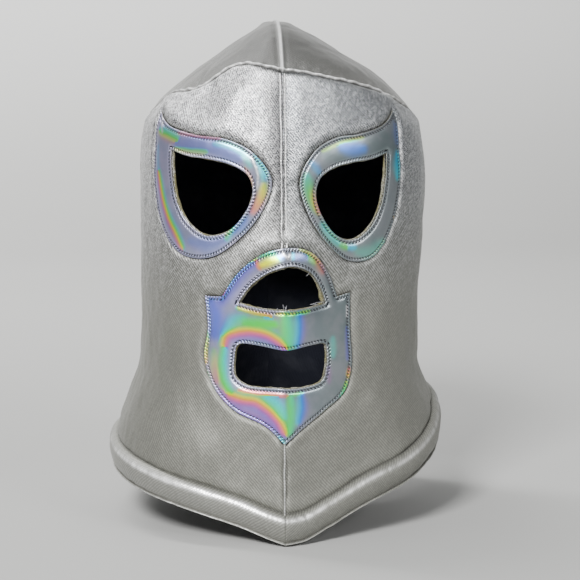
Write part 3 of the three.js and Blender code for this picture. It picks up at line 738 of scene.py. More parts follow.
# Boxes of facings and holes in mm: width, height, start from the centre front, top
EYE_FACING_BOX = {-1: (88, 83, 7.5, 53.5), 1: (70, 86, 10.0, 52.5)}
EYE_HOLE_BOX = {-1: (56, 48.5, 18.5, 74.5), 1: (47, 49, 19.5, 76.5)}
MUZZLE_BOX = (91, 112, -48.5, 128.5)
NOSE_HOLE_BOX = (53, 24.5, -27.5, 139)
MOUTH_HOLE_BOX = (56, 25.5, -30, 183)
SPLINE_STEPS = 16
OUTLINE_STEP = 0.9
EDGE_STEP = 1.2


def spline(points, closed, steps):
    """A centripetal curve through points"""
    if closed:
        ends = np.vstack([points[-1:], points, points[:2]])
    else:
        first, last = 2 * points[0] - points[1], 2 * points[-1] - points[-2]
        ends = np.vstack([first, points, last])
    t = np.linspace(0, 1, steps, endpoint=False)[:, None]
    parts = []
    for k in range(len(ends) - 3):
        p = ends[k : k + 4]
        d = np.maximum(step_lengths(p) ** 0.5, 1e-6)
        m1 = ((p[1] - p[0]) / d[0] - (p[2] - p[0]) / (d[0] + d[1]) + (p[2] - p[1]) / d[1]) * d[1]
        m2 = ((p[2] - p[1]) / d[1] - (p[3] - p[1]) / (d[1] + d[2]) + (p[3] - p[2]) / d[2]) * d[1]
        h00, h10 = 2 * t**3 - 3 * t**2 + 1, t**3 - 2 * t**2 + t
        h01, h11 = 3 * t**2 - 2 * t**3, t**3 - t**2
        parts.append(h00 * p[1] + h10 * m1 + h01 * p[2] + h11 * m2)
    return np.concatenate(parts)


def in_box(course, side, box):
    """Places of a course that is given as shares of a box"""
    width, height, start, top = box
    across, down = np.array(course).T
    return np.stack([side * (start + across * width), top + down * height], -1)


def outline(rows, box, side=1):
    """A closed loop of places from a table of shares"""
    corners = np.flatnonzero(rows[:, 2])
    points = rows[:, :2]
    if not len(corners):
        loop = spline(points, True, SPLINE_STEPS)
    else:
        points = np.roll(points, -corners[0], axis=0)
        breaks = [*(corners - corners[0]), len(points)]
        closed = np.vstack([points, points[:1]])
        loop = np.concatenate([
            spline(closed[a : b + 1], False, SPLINE_STEPS) for a, b in zip(breaks, breaks[1:])
        ])
    return resample(in_box(loop, side, box), OUTLINE_STEP, closed=True)


EYE_FACINGS = {side: outline(EYE_FACING, EYE_FACING_BOX[side], side) for side in (-1, 1)}
EYE_HOLES = {side: outline(EYE_HOLE, EYE_HOLE_BOX[side], side) for side in (-1, 1)}
MUZZLE_LOOP = outline(MUZZLE, MUZZLE_BOX)
NOSE_LOOP = outline(NOSE_HOLE, NOSE_HOLE_BOX)
MOUTH_LOOP = outline(MOUTH_HOLE, MOUTH_HOLE_BOX)


def face_outline(side):
    """The edge of a face panel: seam, hem, centre front"""
    seam = whole_seam(side)
    ends = np.linspace(seam[-1, 0], 0, 200)
    hem = np.stack([ends, cloth_end(side, ends / HALF_GIRTH)], -1)
    centre = np.array([hem[-1], seam[0]])
    parts = [resample(line, EDGE_STEP)[:-1] for line in (seam, hem, centre)]
    return np.concatenate(parts) * (side, 1)


def gather(run, wave, seed):
    """Uneven waves along a line of stitches, between -1 and 1"""
    return ripple(np.stack([run, 0.31 * run, 0 * run], -1), wave, seed)


def gathers(far, run, rise, wave, seed, fade):
    """Gathers along a line of stitches in mm, dying out over the distance from it"""
    return rise * gather(run, wave, seed) * np.exp(-far / fade)


# The dip that the seam under the centre-front strip pulls into the foam, and the mm down between
# which it runs
VALLEY_DEPTH = 3.6
VALLEY_WIDTH = 7.5
VALLEY_TOP = 34
VALLEY_BOTTOM = 122


def centre_valley(places):
    """How deep the centre-front seam pulls the foam in above the nose, as a negative rise"""
    across, down = places[:, 0], places[:, 1]
    ends = 1 / (1 + np.exp((down - VALLEY_BOTTOM) / 8)) / (1 + np.exp((VALLEY_TOP - down) / 4))
    return -VALLEY_DEPTH * ends * np.exp(-((across / VALLEY_WIDTH) ** 2))


# Soft bulges of the foam that the solids leave out, as in FOLDS
LATE_FOLDS = np.array([
    (-0.224, 0.155, 0.06, 0.022, 40, 0.008),
    (-0.13, 0.51, 0.04, 0.05, 0, 0.008),
])


def late_lift(places):
    return fold_lift(places[:, 0] / HALF_GIRTH, places[:, 1] / HEIGHT, LATE_FOLDS)


def lay_dressed(places, rise):
    """Points of a piece that lies on the dressed cloth of both halves"""
    return lay_both(places, rise + centre_valley(places) + late_lift(places))


def facing_channel(far, above):
    """How the foam lies beside a facing that is stitched down on it; far is negative under it,
    and above runs from 0 below the facing to 1 over it, where the foam rolls down to its edge"""
    beside_it = np.maximum(far, 0)
    crest = (0.55 + 1.35 * above) * (1 - np.exp(-((beside_it / (1.5 + 1.7 * above)) ** 2)))
    return crest * np.exp(-((beside_it / 8.5) ** 2)) - 0.95 * np.exp(-((beside_it / 0.9) ** 2))


def hem_line(side, first, last):
    """Points along the top of the hem, between two shares of the half girth"""
    at = np.linspace(first, last, 150) * HALF_GIRTH
    places = np.stack([at, hem_down(side, at / HALF_GIRTH) - HEM_BAND_HEIGHT], -1)
    return lay(side, places, 0.0)


# Where the painted highlight beside the outer side of an eye facing begins: mm round the face, mm down
EYE_CORNER = (70.0, 62.0)
# Valley and puffed foam: rise, distance from the line, width
FACE_SEAM = ((-0.8, 0, 1.0), (0.55, 3.4, 2.2))
HEM_SEAM = ((-0.9, 0, 0.9), (0.2, 4.0, 2.5))
# Rise, wave, seed, fade
HEM_GATHERS = (0.3, 12, 8, 7)


def cloth_ripple(base):
    return 0.16 * ripple(base, 9, 3) + 0.4 * ripple(base, 30, 5)


def face_rise(side, places, base):
    """The relief of a face panel: valleys at its seams, puffed foam beside the facings"""
    to_seam, run_seam, _ = nearest(base, lay(side, whole_seam(side), 0.0))
    to_hem, run_hem, _ = nearest(base, hem_line(side, 0, 0.58))
    to_centre, down = np.abs(places[:, 0]), places[:, 1]
    rise = relief(to_seam, FACE_SEAM)
    rise += relief(to_hem, HEM_SEAM)
    rise += -0.9 * np.exp(-((to_centre / 2.2) ** 4)) + centre_valley(places)
    facings = (EYE_FACINGS[side], MUZZLE_LOOP)
    for loop in facings:
        far, run, _ = nearest(places, loop, True)
        far = np.where(in_loop(places, loop), -far, far)
        low, high = loop[:, 1].max(), loop[:, 1].min()
        above = np.clip(1.15 - 1.3 * (down - high) / (low - high), 0, 1)
        rise += facing_channel(far, above)
        rise += gathers(np.maximum(far, 0), run, 0.2, 9, 31, 4) * (far > 0.4)
    top_seam = np.exp(-((run_seam / 95) ** 4))
    rise += gathers(to_seam, run_seam, 0.42, 7.5, 7, 5.5) * (0.45 + 0.55 * top_seam)
    rise += gathers(to_hem, run_hem, *HEM_GATHERS)
    rise += gathers(np.maximum(to_centre - 2.4, 0), down, 0.3, 10, 9, 4)
    rise += cloth_ripple(base)
    rise += late_lift(places)
    # The crest attribute paints highlight on the lip along the top seam and beside the outer sides of
    # the eye facings, and painted shade in the seams, round the facings and down the centre valley,
    # deeper on the left
    crest = 0.25 * bump(to_seam, 1.9, 0.7) * top_seam - 0.3 * bump(to_seam, 0.2, 0.4)
    crest -= 0.5 * bump(to_hem, 0, 0.5)
    for loop in facings:
        crest -= 0.85 * bump(distance(places, loop, True), 0, 0.6)
    eye_rim, run, _ = nearest(places, EYE_FACINGS[side], True)
    outer_side = 1 / (1 + np.exp((EYE_CORNER[0] - to_centre) / 3)) * (down > EYE_CORNER[1])
    crest += 0.9 * outer_side * bump(eye_rim, 1.7, 0.7) * (0.5 + 0.5 * gather(run, 2.6, 33))
    crest += (0.17 if side < 0 else 0.07) * centre_valley(places)
    return rise, np.clip(crest, -1, 1)


NOSE_CORNER = np.array([25.0, 158.0])


def ragged(loop, seed):
    """The raw cut in the foam, which shows unevenly past the edge of the film"""
    peeking = 0.12 + 0.3 * gather(np.arange(len(loop)) * OUTLINE_STEP, 7, seed)
    corner = 1.3 * (loop is NOSE_LOOP) * bump(np.hypot(*(loop - NOSE_CORNER).T), 0, 5)
    return offset(loop, np.sign(area_of(loop)) * (np.maximum(peeking, 0.05) + corner)[:, None])


# Close rows of points beside the edges and the grid between them, both in mm, and the rim's
# rounding where the foam shows: outwards, share of the way down
FACE_ROWS = (0.5, 1.1, 1.8, 2.6)
FACE_GRID = 1.5
FOAM_ROUNDING = ((0.15, 0.12), (0.25, 0.4), (0.2, 0.75))
for side, word in SIDES:
    film_holes = [EYE_HOLES[side], NOSE_LOOP, MOUTH_LOOP]
    loops = [face_outline(side), *(ragged(loop, 81 + k) for k, loop in enumerate(film_holes))]
    places, triangles = cut(loops, FACE_ROWS, grid_in(loops, FACE_GRID), clear=3.3)
    keep_side(side, places)
    rise, crest = face_rise(side, places, lay(side, places, 0.0))
    holes = np.concatenate(loops[1:])

    def at_hole(spots, holes=holes):
        return (distance(spots, holes) < 0.6).astype(int)

    middle = places[triangles].mean(1)
    bare = np.any([in_loop(middle, loop) for loop in film_holes], axis=0)
    piece = shell(
        f"face_cloth_{word}", places, triangles, partial(lay, side),
        top=rise, under=centre_valley(places) - CLOTH_THICKNESS, edge=FOAM_ROUNDING,
        finishes=[LAME if side < 0 else LAME_SHADED_RIGHT, FOAM, LINING], edge_finish=at_hole,
        uv=places, extra={"crest": crest}, top_finish=bare.astype(int),
    )
    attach(piece, "root")
    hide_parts(f"face_panel_{word}")

# Crown panels. The same cloth cut the other way of its grain, its colours painted much darker as painted
# shade, one piece a side from the forehead seam over the top and down the back, joined to its mirror by
# a seam along the middle that stands up as a fine ridge in front.
CROWN_LAME_SHADED = silver_cloth(
    "silver_lame_crown_shaded", ((0.2, 0.2, 0.189), (0.13, 0.13, 0.12)),
    ((0.24, 0.24, 0.213), (0.15, 0.15, 0.133)), sparkle=0.15, metal=0.3, top_shade=0.95,
)
# How long the cloth is from the top of the crown down to each level, taken all round
LOWEST_LEVEL = 1.02
LEVELS = np.linspace(0, LOWEST_LEVEL, 700)
ARC = np.mean([
    lengths_along(hood(side, np.full(len(LEVELS), around), LEVELS))
    for side in (-1, 1) for around in (0.0, 0.25, 0.5, 0.75, 1.0)
], axis=0)


def crown_flat(places):
    """Spreads the crown out on a disc round its top"""
    angle = places[:, 0] / HALF_GIRTH * math.pi
    arc = np.interp(places[:, 1] / HEIGHT, LEVELS, ARC)
    return np.stack([arc * np.sin(angle), -arc * np.cos(angle)], -1)


def crown_unflat(flat):
    """Takes points of that disc back to their places on the crown"""
    arc = np.hypot(flat[:, 0], flat[:, 1])
    angle = np.arctan2(flat[:, 0], -flat[:, 1])
    return np.stack([angle / math.pi * HALF_GIRTH, np.interp(arc, ARC, LEVELS) * HEIGHT], -1)


def girth_at(side, level):
    """Length of one half of a level section of the hood"""
    around = np.linspace(0, 1, 60)
    return float(step_lengths(hood(side, around, np.full(60, level))).sum())


def crown_outline(side):
    """The edge of a crown panel: seam, hem, centre back, centre front"""
    seam = whole_seam(side, 500)
    ends = np.linspace(seam[-1, 0], HALF_GIRTH, 200)
    hem = np.stack([ends, cloth_end(side, ends / HALF_GIRTH)], -1)
    back = np.linspace(hem[-1, 1], 0, 260)[:-1]
    back = np.stack([np.full(len(back), HALF_GIRTH), back], -1)
    front = np.linspace(0, seam[0, 1], 120)
    front = np.stack([np.zeros(len(front)), front], -1)
    spaced = [resample(seam, EDGE_STEP)[:-1], resample(hem, EDGE_STEP)[:-1]]
    for line in (back, front):
        far = np.interp(line[:, 1] / HEIGHT, LEVELS, ARC)
        at = np.linspace(far[0], far[-1], int(abs(far[-1] - far[0]) / EDGE_STEP) + 2)[:-1]
        order = np.argsort(far)
        down = np.interp(at, far[order], line[order, 1])
        spaced.append(np.stack([np.full(len(at), line[0, 0]), down], -1))
    return np.concatenate(spaced) * (side, 1)


CROWN_GRID = 1.6
MIDDLE_ROWS = np.array([0.5, 1.0, 1.5, 2.2])
SEAM_ROWS = (0.4, 0.8, 1.2, 1.6, 2.1)


def crown_fill(side, spacing):
    """Points in rings round the top of the crown, evenly spaced on the cloth, and close rows
    beside the middle seam"""
    rows = []
    for arc in np.arange(spacing, ARC[-1], spacing):
        level = float(np.interp(arc, ARC, LEVELS))
        half = girth_at(side, level)
        count = max(int(half / spacing), 3)
        around = np.arange(1, count) / count * HALF_GIRTH
        close = MIDDLE_ROWS / half * HALF_GIRTH
        around = around[(around > close[-1] * 1.4) & (around < HALF_GIRTH - close[-1] * 1.4)]
        if half > 12:
            around = np.concatenate([close, around, HALF_GIRTH - close])
        rows.append(np.stack([side * around, np.full(len(around), level * HEIGHT)], -1))
    return np.concatenate(rows)


def middle_line(side, around):
    """Points down the middle of the hood, in front where around is 0 and behind where it is 1"""
    downs = np.linspace(0, 270, 300)
    return lay(side, np.stack([np.full(len(downs), around * HALF_GIRTH), downs], -1), 0.0)


# As in FACE_SEAM; the ridge reaches down the front over the first points of the middle line
RIDGE = ((1.0, 0, 1.0), (-0.35, 2.3, 0.8))
RIDGE_POINTS = 36
BACK_SEAM = ((-1.0, 0, 1.0), (0.3, 2.8, 1.8))


def crown_rise(side, base):
    """The relief of a crown panel: the wavy lip along the forehead seam, the ridge on top"""
    to_front, run_front, _ = nearest(base, middle_line(side, 0.0)[:RIDGE_POINTS])
    to_back, run_back, _ = nearest(base, middle_line(side, 1.0))
    to_seam, run_seam, _ = nearest(base, lay(side, whole_seam(side), 0.0))
    to_hem, run_hem, _ = nearest(base, hem_line(side, 0.55, 1))
    top_seam = np.exp(-((run_seam / 100) ** 6))
    lip_at = 0.85 + 0.25 * gather(run_seam, 9, 41)
    lip = 1.0 * top_seam + 0.25 * (1 - top_seam)
    rise = lip * bump(to_seam, lip_at, 0.6) * (1 + 0.35 * gather(run_seam, 6, 42))
    rise -= 0.9 * bump(to_seam, 0, 0.4)
    rise += gathers(to_seam, run_seam, 0.5, 8, 7, 6) * (0.3 + 0.7 * top_seam)
    ridge = 1 - np.exp(-run_front / 5)
    rise += relief(to_front, RIDGE) * ridge
    rise += gathers(to_front, run_front, 0.3, 9, 43, 5)
    rise += relief(to_back, BACK_SEAM)
    rise += gathers(to_back, run_back, 0.25, 12, 44, 6)
    rise += relief(to_hem, HEM_SEAM)
    rise += gathers(to_hem, run_hem, *HEM_GATHERS)
    rise += cloth_ripple(base)
    # The crest attribute paints highlight along the lip and the front ridge, and painted shade under the
    # lip and in the hem and back seams
    beads = 0.75 + 0.4 * gather(run_seam, 2.6, 45)
    crest = 1.2 * beads * bump(to_seam, lip_at, 0.5) * top_seam
    crest += 0.8 * bump(to_front, 0, 0.75) * ridge
    crest -= 0.25 * bump(to_seam, 0.1, 0.3) + 0.5 * bump(to_hem, 0, 0.5)
    crest -= 0.6 * bump(to_back, 0, 0.5)
    return rise, np.clip(crest, -1, 1)


def cloth_grain(side, places):
    """Where the weave runs on the crown: mm round the hood and mm down it"""
    level = places[:, 1] / HEIGHT
    levels = np.linspace(0, LOWEST_LEVEL, 60)
    half = np.interp(level, levels, [girth_at(side, max(h, 0.001)) for h in levels])
    return np.stack([places[:, 0] / HALF_GIRTH * half, np.interp(level, LEVELS, ARC)], -1)


for side, word in SIDES:
    fill = crown_fill(side, CROWN_GRID)
    beside_seam = np.concatenate([
        seam_places(side, np.linspace(0.004, 0.996, 330), row) * (side, 1) for row in SEAM_ROWS
    ])
    fill = fill[distance(fill, whole_seam(side) * (side, 1)) > 2.9]
    fill = np.concatenate([fill, beside_seam])
    places, triangles = cut(
        [crown_outline(side)], (), fill, clear=0.35, flatten=crown_flat, unflatten=crown_unflat,
    )
    keep_side(side, places)
    rise, crest = crown_rise(side, lay(side, places, 0.0))
    piece = shell(
        f"crown_cloth_{word}", places, triangles, partial(lay, side),
        top=rise, under=-CLOTH_THICKNESS, edge=((0.02, 0.5),),
        finishes=[CROWN_LAME_SHADED, LINING], edge_finish=lambda spots: np.zeros(len(spots)),
        uv=cloth_grain(side, places), extra={"crest": crest},
    )
    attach(piece, "root")
    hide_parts(f"crown_panel_{word}")

# Facings. Holographic film on a thin backing, cut with the holes and stitched down on the foam
# cloth 1.7 mm inside each edge, so that it lies in a channel and swells between its stitch lines.
STITCH_INSET = 1.7
STITCH_PITCH = 1.9

# Streaks of the spectrum that the film throws back under this light, painted into its colour as
# painted reflection, as they lie across it: strength, half width in mm, hue on the left and right of
# the streak at its start and at its end, and its course as shares of the facing's box. Hues go round
# a circle: 0 violet, then cyan, green, yellow, orange, 0.9 mauve.
LEFT_EYE_STREAKS = (
    (0.8, 3.2, (0.18, 0.64, 0.22, 0.6), ((0.9, 0.13), (0.8, 0.15), (0.7, 0.18))),
    (0.4, 4.0, (0.06, 0.06, 0.08, 0.08), ((0.7, 0.21), (0.5, 0.21), (0.38, 0.25), (0.22, 0.31))),
    (0.5, 2.0, (0.26, 0.26, 0.28, 0.28), ((0.4, 0.21), (0.3, 0.22), (0.2, 0.27), (0.14, 0.36))),
    (0.5, 1.2, (0.7, 0.7, 0.74, 0.74), ((0.7, 0.14), (0.5, 0.16), (0.35, 0.17))),
    (0.45, 1.8, (0.46, 0.54, 0.44, 0.5), ((0.72, 0.25), (0.57, 0.26), (0.44, 0.26))),
    (0.75, 3.2, (0.12, 0.24, 0.22, 0.3), ((0.1, 0.29), (0.06, 0.36), (0.05, 0.43))),
    (0.8, 2.8, (0.5, 0.56, 0.7, 0.74), ((0.05, 0.49), (0.07, 0.56), (0.13, 0.67))),
    (0.5, 1.0, (0.64, 0.64, 0.6, 0.6), ((0.18, 0.37), (0.14, 0.45), (0.14, 0.52))),
    (0.5, 3.2, (0.1, 0.12, 0.14, 0.12), ((0.18, 0.72), (0.21, 0.76), (0.26, 0.8))),
    (0.65, 2.4, (0.22, 0.5, 0.22, 0.46), ((0.27, 0.77), (0.31, 0.86))),
    (0.4, 4.0, (0.12, 0.06, 0.06, 0.12), ((0.34, 0.87), (0.45, 0.9), (0.58, 0.88))),
    (0.9, 2.9, (0.3, 0.9, 0.26, 0.86), (
        (0.88, 0.42), (0.84, 0.56), (0.78, 0.7), (0.69, 0.84), (0.64, 0.93),
    )),
    (0.35, 2.0, (0.18, 0.18, 0.18, 0.2), ((0.91, 0.24), (0.9, 0.34), (0.88, 0.42))),
)
RIGHT_EYE_STREAKS = (
    (0.65, 3.6, (0.1, 0.12, 0.12, 0.12), ((0.38, 0.24), (0.47, 0.25), (0.58, 0.25))),
    (0.3, 3.0, (0.05, 0.08, 0.08, 0.1), ((0.95, 0.1), (0.94, 0.22))),
    (0.8, 2.8, (0.18, 0.22, 0.2, 0.24), ((0.93, 0.29), (0.92, 0.37), (0.92, 0.45))),
    (0.5, 2.4, (0.14, 0.18, 0.14, 0.18), ((0.11, 0.34), (0.17, 0.4))),
    (0.6, 2.8, (0.3, 0.3, 0.82, 0.5), ((0.06, 0.42), (0.08, 0.53), (0.12, 0.6), (0.17, 0.66))),
    (0.5, 2.6, (0.26, 0.28, 0.28, 0.3), ((0.2, 0.74), (0.27, 0.81), (0.34, 0.87))),
    (0.55, 1.8, (0.4, 0.4, 0.46, 0.46), ((0.36, 0.88), (0.42, 0.9))),
    (0.75, 2.0, (0.2, 0.2, 0.22, 0.22), ((0.44, 0.9), (0.49, 0.9))),
    (0.3, 3.4, (0.3, 0.3, 0.3, 0.3), ((0.52, 0.93), (0.64, 0.93), (0.76, 0.87))),
    (0.4, 0.6, (0.6, 0.6, 0.62, 0.62), ((0.88, 0.71), (0.95, 0.79))),
    (0.4, 0.9, (0.5, 0.5, 0.5, 0.5), ((0.2, 0.26), (0.4, 0.2), (0.6, 0.17))),
)
MUZZLE_STREAKS = (
    (0.8, 4.6, (0.03, 0.04, 0.02, 0.03), ((0.12, 0.28), (0.18, 0.2), (0.26, 0.12), (0.32, 0.09))),
    (0.9, 1.4, (0.72, 0.72, 0.68, 0.68), ((0.35, 0.07), (0.38, 0.11))),
    (1.0, 2.8, (0.56, 0.6, 0.52, 0.54), ((0.39, 0.09), (0.44, 0.07), (0.48, 0.06))),
    (0.9, 1.8, (0.26, 0.36, 0.24, 0.36), ((0.38, 0.04), (0.42, 0.03), (0.47, 0.03))),
    (0.6, 2.0, (0.14, 0.2, 0.12, 0.16), ((0.49, 0.05), (0.52, 0.05))),
    (0.95, 1.0, (0.2, 0.24, 0.2, 0.24), ((0.59, 0.03), (0.59, 0.06))),
    (0.35, 2.6, (0.08, 0.06, 0.12, 0.08), ((0.62, 0.05), (0.68, 0.05))),
    (0.5, 2.2, (0.46, 0.42, 0.5, 0.46), ((0.7, 0.04), (0.73, 0.08))),
    (0.5, 2.6, (0.68, 0.64, 0.72, 0.7), ((0.76, 0.08), (0.79, 0.13))),
    (0.8, 1.0, (0.55, 0.55, 0.44, 0.44), ((0.13, 0.25), (0.2, 0.16), (0.28, 0.09), (0.36, 0.05))),
    (0.5, 1.0, (0.48, 0.48, 0.6, 0.6), ((0.64, 0.01), (0.72, 0.04), (0.78, 0.09))),
    (0.9, 5.2, (0.04, 0.05, 0.08, 0.05), ((0.05, 0.29), (0.08, 0.36), (0.07, 0.46))),
    (0.8, 3.6, (0.12, 0.24, 0.3, 0.42), ((0.13, 0.44), (0.2, 0.38), (0.28, 0.36))),
    (1.0, 3.4, (0.38, 0.47, 0.4, 0.46), ((0.28, 0.38), (0.38, 0.38), (0.48, 0.38))),
    (0.7, 1.4, (0.13, 0.14, 0.13, 0.14), ((0.41, 0.35), (0.46, 0.35))),
    (0.9, 1.0, (0.5, 0.5, 0.64, 0.64), ((0.22, 0.31), (0.34, 0.33), (0.46, 0.34))),
    (0.85, 1.0, (0.5, 0.5, 0.4, 0.4), ((0.48, 0.33), (0.6, 0.33), (0.7, 0.32))),
    (1.0, 4.0, (0.44, 0.94, 0.42, 1.04), (
        (0.14, 0.5), (0.16, 0.46), (0.22, 0.44), (0.32, 0.43), (0.42, 0.44), (0.49, 0.47), (0.53, 0.5),
    )),
    (1.0, 3.6, (0.3, 0.44, 0.28, 0.44), ((0.54, 0.34), (0.55, 0.42), (0.56, 0.5))),
    (0.9, 3.2, (0.02, 0.28, 0.02, 0.3), ((0.62, 0.34), (0.62, 0.42), (0.61, 0.5))),
    (1.0, 2.8, (0.2, 0.44, 0.3, 0.5), ((0.14, 0.52), (0.13, 0.6), (0.14, 0.68), (0.19, 0.75))),
    (1.0, 4.0, (0.42, 0.94, 0.42, 1.04), (
        (0.18, 0.76), (0.26, 0.78), (0.35, 0.79), (0.43, 0.83), (0.49, 0.88), (0.53, 0.94),
    )),
    (0.6, 4.2, (0.9, 0.98, 0.88, 1.0), ((0.26, 0.84), (0.36, 0.87), (0.46, 0.92))),
    (1.0, 3.6, (0.2, 0.34, 0.24, 0.38), ((0.42, 0.76), (0.48, 0.79), (0.53, 0.86))),
    (1.0, 2.6, (0.32, 0.42, 0.36, 0.44), ((0.57, 0.76), (0.57, 0.86), (0.56, 0.94))),
    (0.9, 3.2, (0.02, 0.26, 0.04, 0.28), ((0.64, 0.76), (0.64, 0.82), (0.62, 0.89))),
    (0.7, 1.2, (0.24, 0.2, 0.24, 0.2), ((0.5, 0.96), (0.53, 0.99))),
    (0.8, 1.4, (0.42, 0.42, 0.58, 0.58), ((0.01, 0.44), (0.01, 0.52), (0.01, 0.61))),
    (0.85, 1.2, (0.46, 0.46, 0.34, 0.34), ((0.01, 0.64), (0.04, 0.71), (0.09, 0.77))),
    (0.6, 1.0, (0.7, 0.7, 0.8, 0.8), ((0.1, 0.79), (0.2, 0.85), (0.31, 0.89))),
    (0.45, 2.6, (0.5, 0.44, 0.8, 0.66), ((0.07, 0.54), (0.07, 0.62), (0.09, 0.7))),
    (0.5, 2.4, (0.86, 0.9, 0.92, 0.96), ((0.11, 0.74), (0.17, 0.79), (0.25, 0.82))),
    (0.9, 1.1, (0.7, 0.7, 0.72, 0.72), ((0.24, 0.73), (0.36, 0.74), (0.56, 0.75))),
    (0.6, 1.0, (0.45, 0.45, 0.4, 0.4), ((0.58, 0.75), (0.66, 0.74))),
    (0.9, 1.1, (0.68, 0.66, 0.56, 0.56), ((0.97, 0.63), (0.96, 0.68))),
    (0.85, 1.1, (0.44, 0.44, 0.28, 0.28), ((0.95, 0.7), (0.93, 0.75), (0.9, 0.79))),
    (0.35, 1.8, (0.3, 0.28, 0.3, 0.28), ((0.86, 0.47), (0.86, 0.57))),
    (0.25, 1.6, (0.88, 0.88, 0.86, 0.86), ((0.83, 0.62), (0.83, 0.7))),
    (0.4, 1.1, (0.04, 0.04, 0.02, 0.02), ((0.96, 0.42), (0.96, 0.6))),
    (0.4, 1.0, (0.5, 0.5, 0.66, 0.66), ((0.87, 0.81), (0.77, 0.87), (0.67, 0.93))),
    (0.5, 1.0, (0.1, 0.1, 0.1, 0.1), ((0.5, 0.52), (0.6, 0.52))),
)
# Creases in the film, raised a little and painted white as painted highlight: which facing, and the
# course as shares of its box
CREASES = {
    "eye_facing_left": (((0.93, 0.02), (0.865, 0.14)), ((0.13, 0.3), (0.09, 0.42), (0.1, 0.5))),
    "eye_facing_right": (),
    "muzzle_facing": (((0.525, 0.02), (0.555, 0.055), (0.565, 0.03)), ((0.965, 0.31), (0.965, 0.36))),
}


def painted_film_rainbow(places, side, box, streaks):
    """Where the hue of the painted reflection lies on the circle of colours, and how strongly it shows;
    each streak wins where it is strongest, and narrows towards its ends"""
    east, north, dull = np.zeros(len(places)), np.zeros(len(places)), np.ones(len(places))
    for strength, half_width, hues, course in streaks:
        line = resample(spline(in_box(course, side, box), False, 12), 0.8)
        far, run, left = nearest(places, line)
        length = step_lengths(line).sum()
        share = run / length
        aside = np.clip(far / half_width, 0, 1.4) * left
        at_left = hues[0] + (hues[2] - hues[0]) * share
        at_right = hues[1] + (hues[3] - hues[1]) * share
        turn = 2 * math.pi * (at_right + (at_left - at_right) * (0.5 + 0.5 * aside))
        narrowed = half_width * (1 - 0.35 * np.exp(-np.minimum(run, length - run) / half_width))
        power = strength * np.exp(-((far / narrowed / 1.15) ** 2.3))
        east += power**2 * np.cos(turn)
        north += power**2 * np.sin(turn)
        dull *= 1 - np.clip(power, 0, 1)
    reach = np.maximum(np.hypot(east, north), 1e-9)
    return east / reach, north / reach, 1 - dull


def crease_depth(places, side, box, courses):
    """How near places are to a crease, from 0 to 1"""
    near = np.zeros(len(places))
    for course in courses:
        line = resample(in_box(course, side, box), 0.5)
        near = np.maximum(near, bump(distance(places, line), 0, 0.6))
    return near


def girth(loop):
    return float(step_lengths(np.vstack([loop, loop[:1]])).sum())


def stitch_count(loop):
    return round(girth(loop) / STITCH_PITCH)


def facing_rise(places, loops):
    """Swell of a facing between its edges, how many stitches along the nearest edge a place is,
    and how far from it"""
    found = [nearest(places, loop, True) for loop in loops]
    far = np.min([to_loop for to_loop, _, _ in found], axis=0)
    run, tick = np.zeros(len(places)), np.zeros(len(places))
    for (to_loop, run_loop, _), loop in zip(found, loops):
        run = np.where(to_loop == far, run_loop, run)
        tick = np.where(to_loop == far, run_loop / girth(loop) * stitch_count(loop), tick)
    rise = 0.05 + 0.15 * (1 - np.exp(-far / 0.5)) - 0.42 * bump(far, STITCH_INSET, 0.5)
    inner = np.maximum(far - STITCH_INSET, 0)
    rise += 0.5 * (1 - np.exp(-inner / 2.2)) + gathers(far, run, 0.1, 8, 51, 5)
    return rise, tick, far


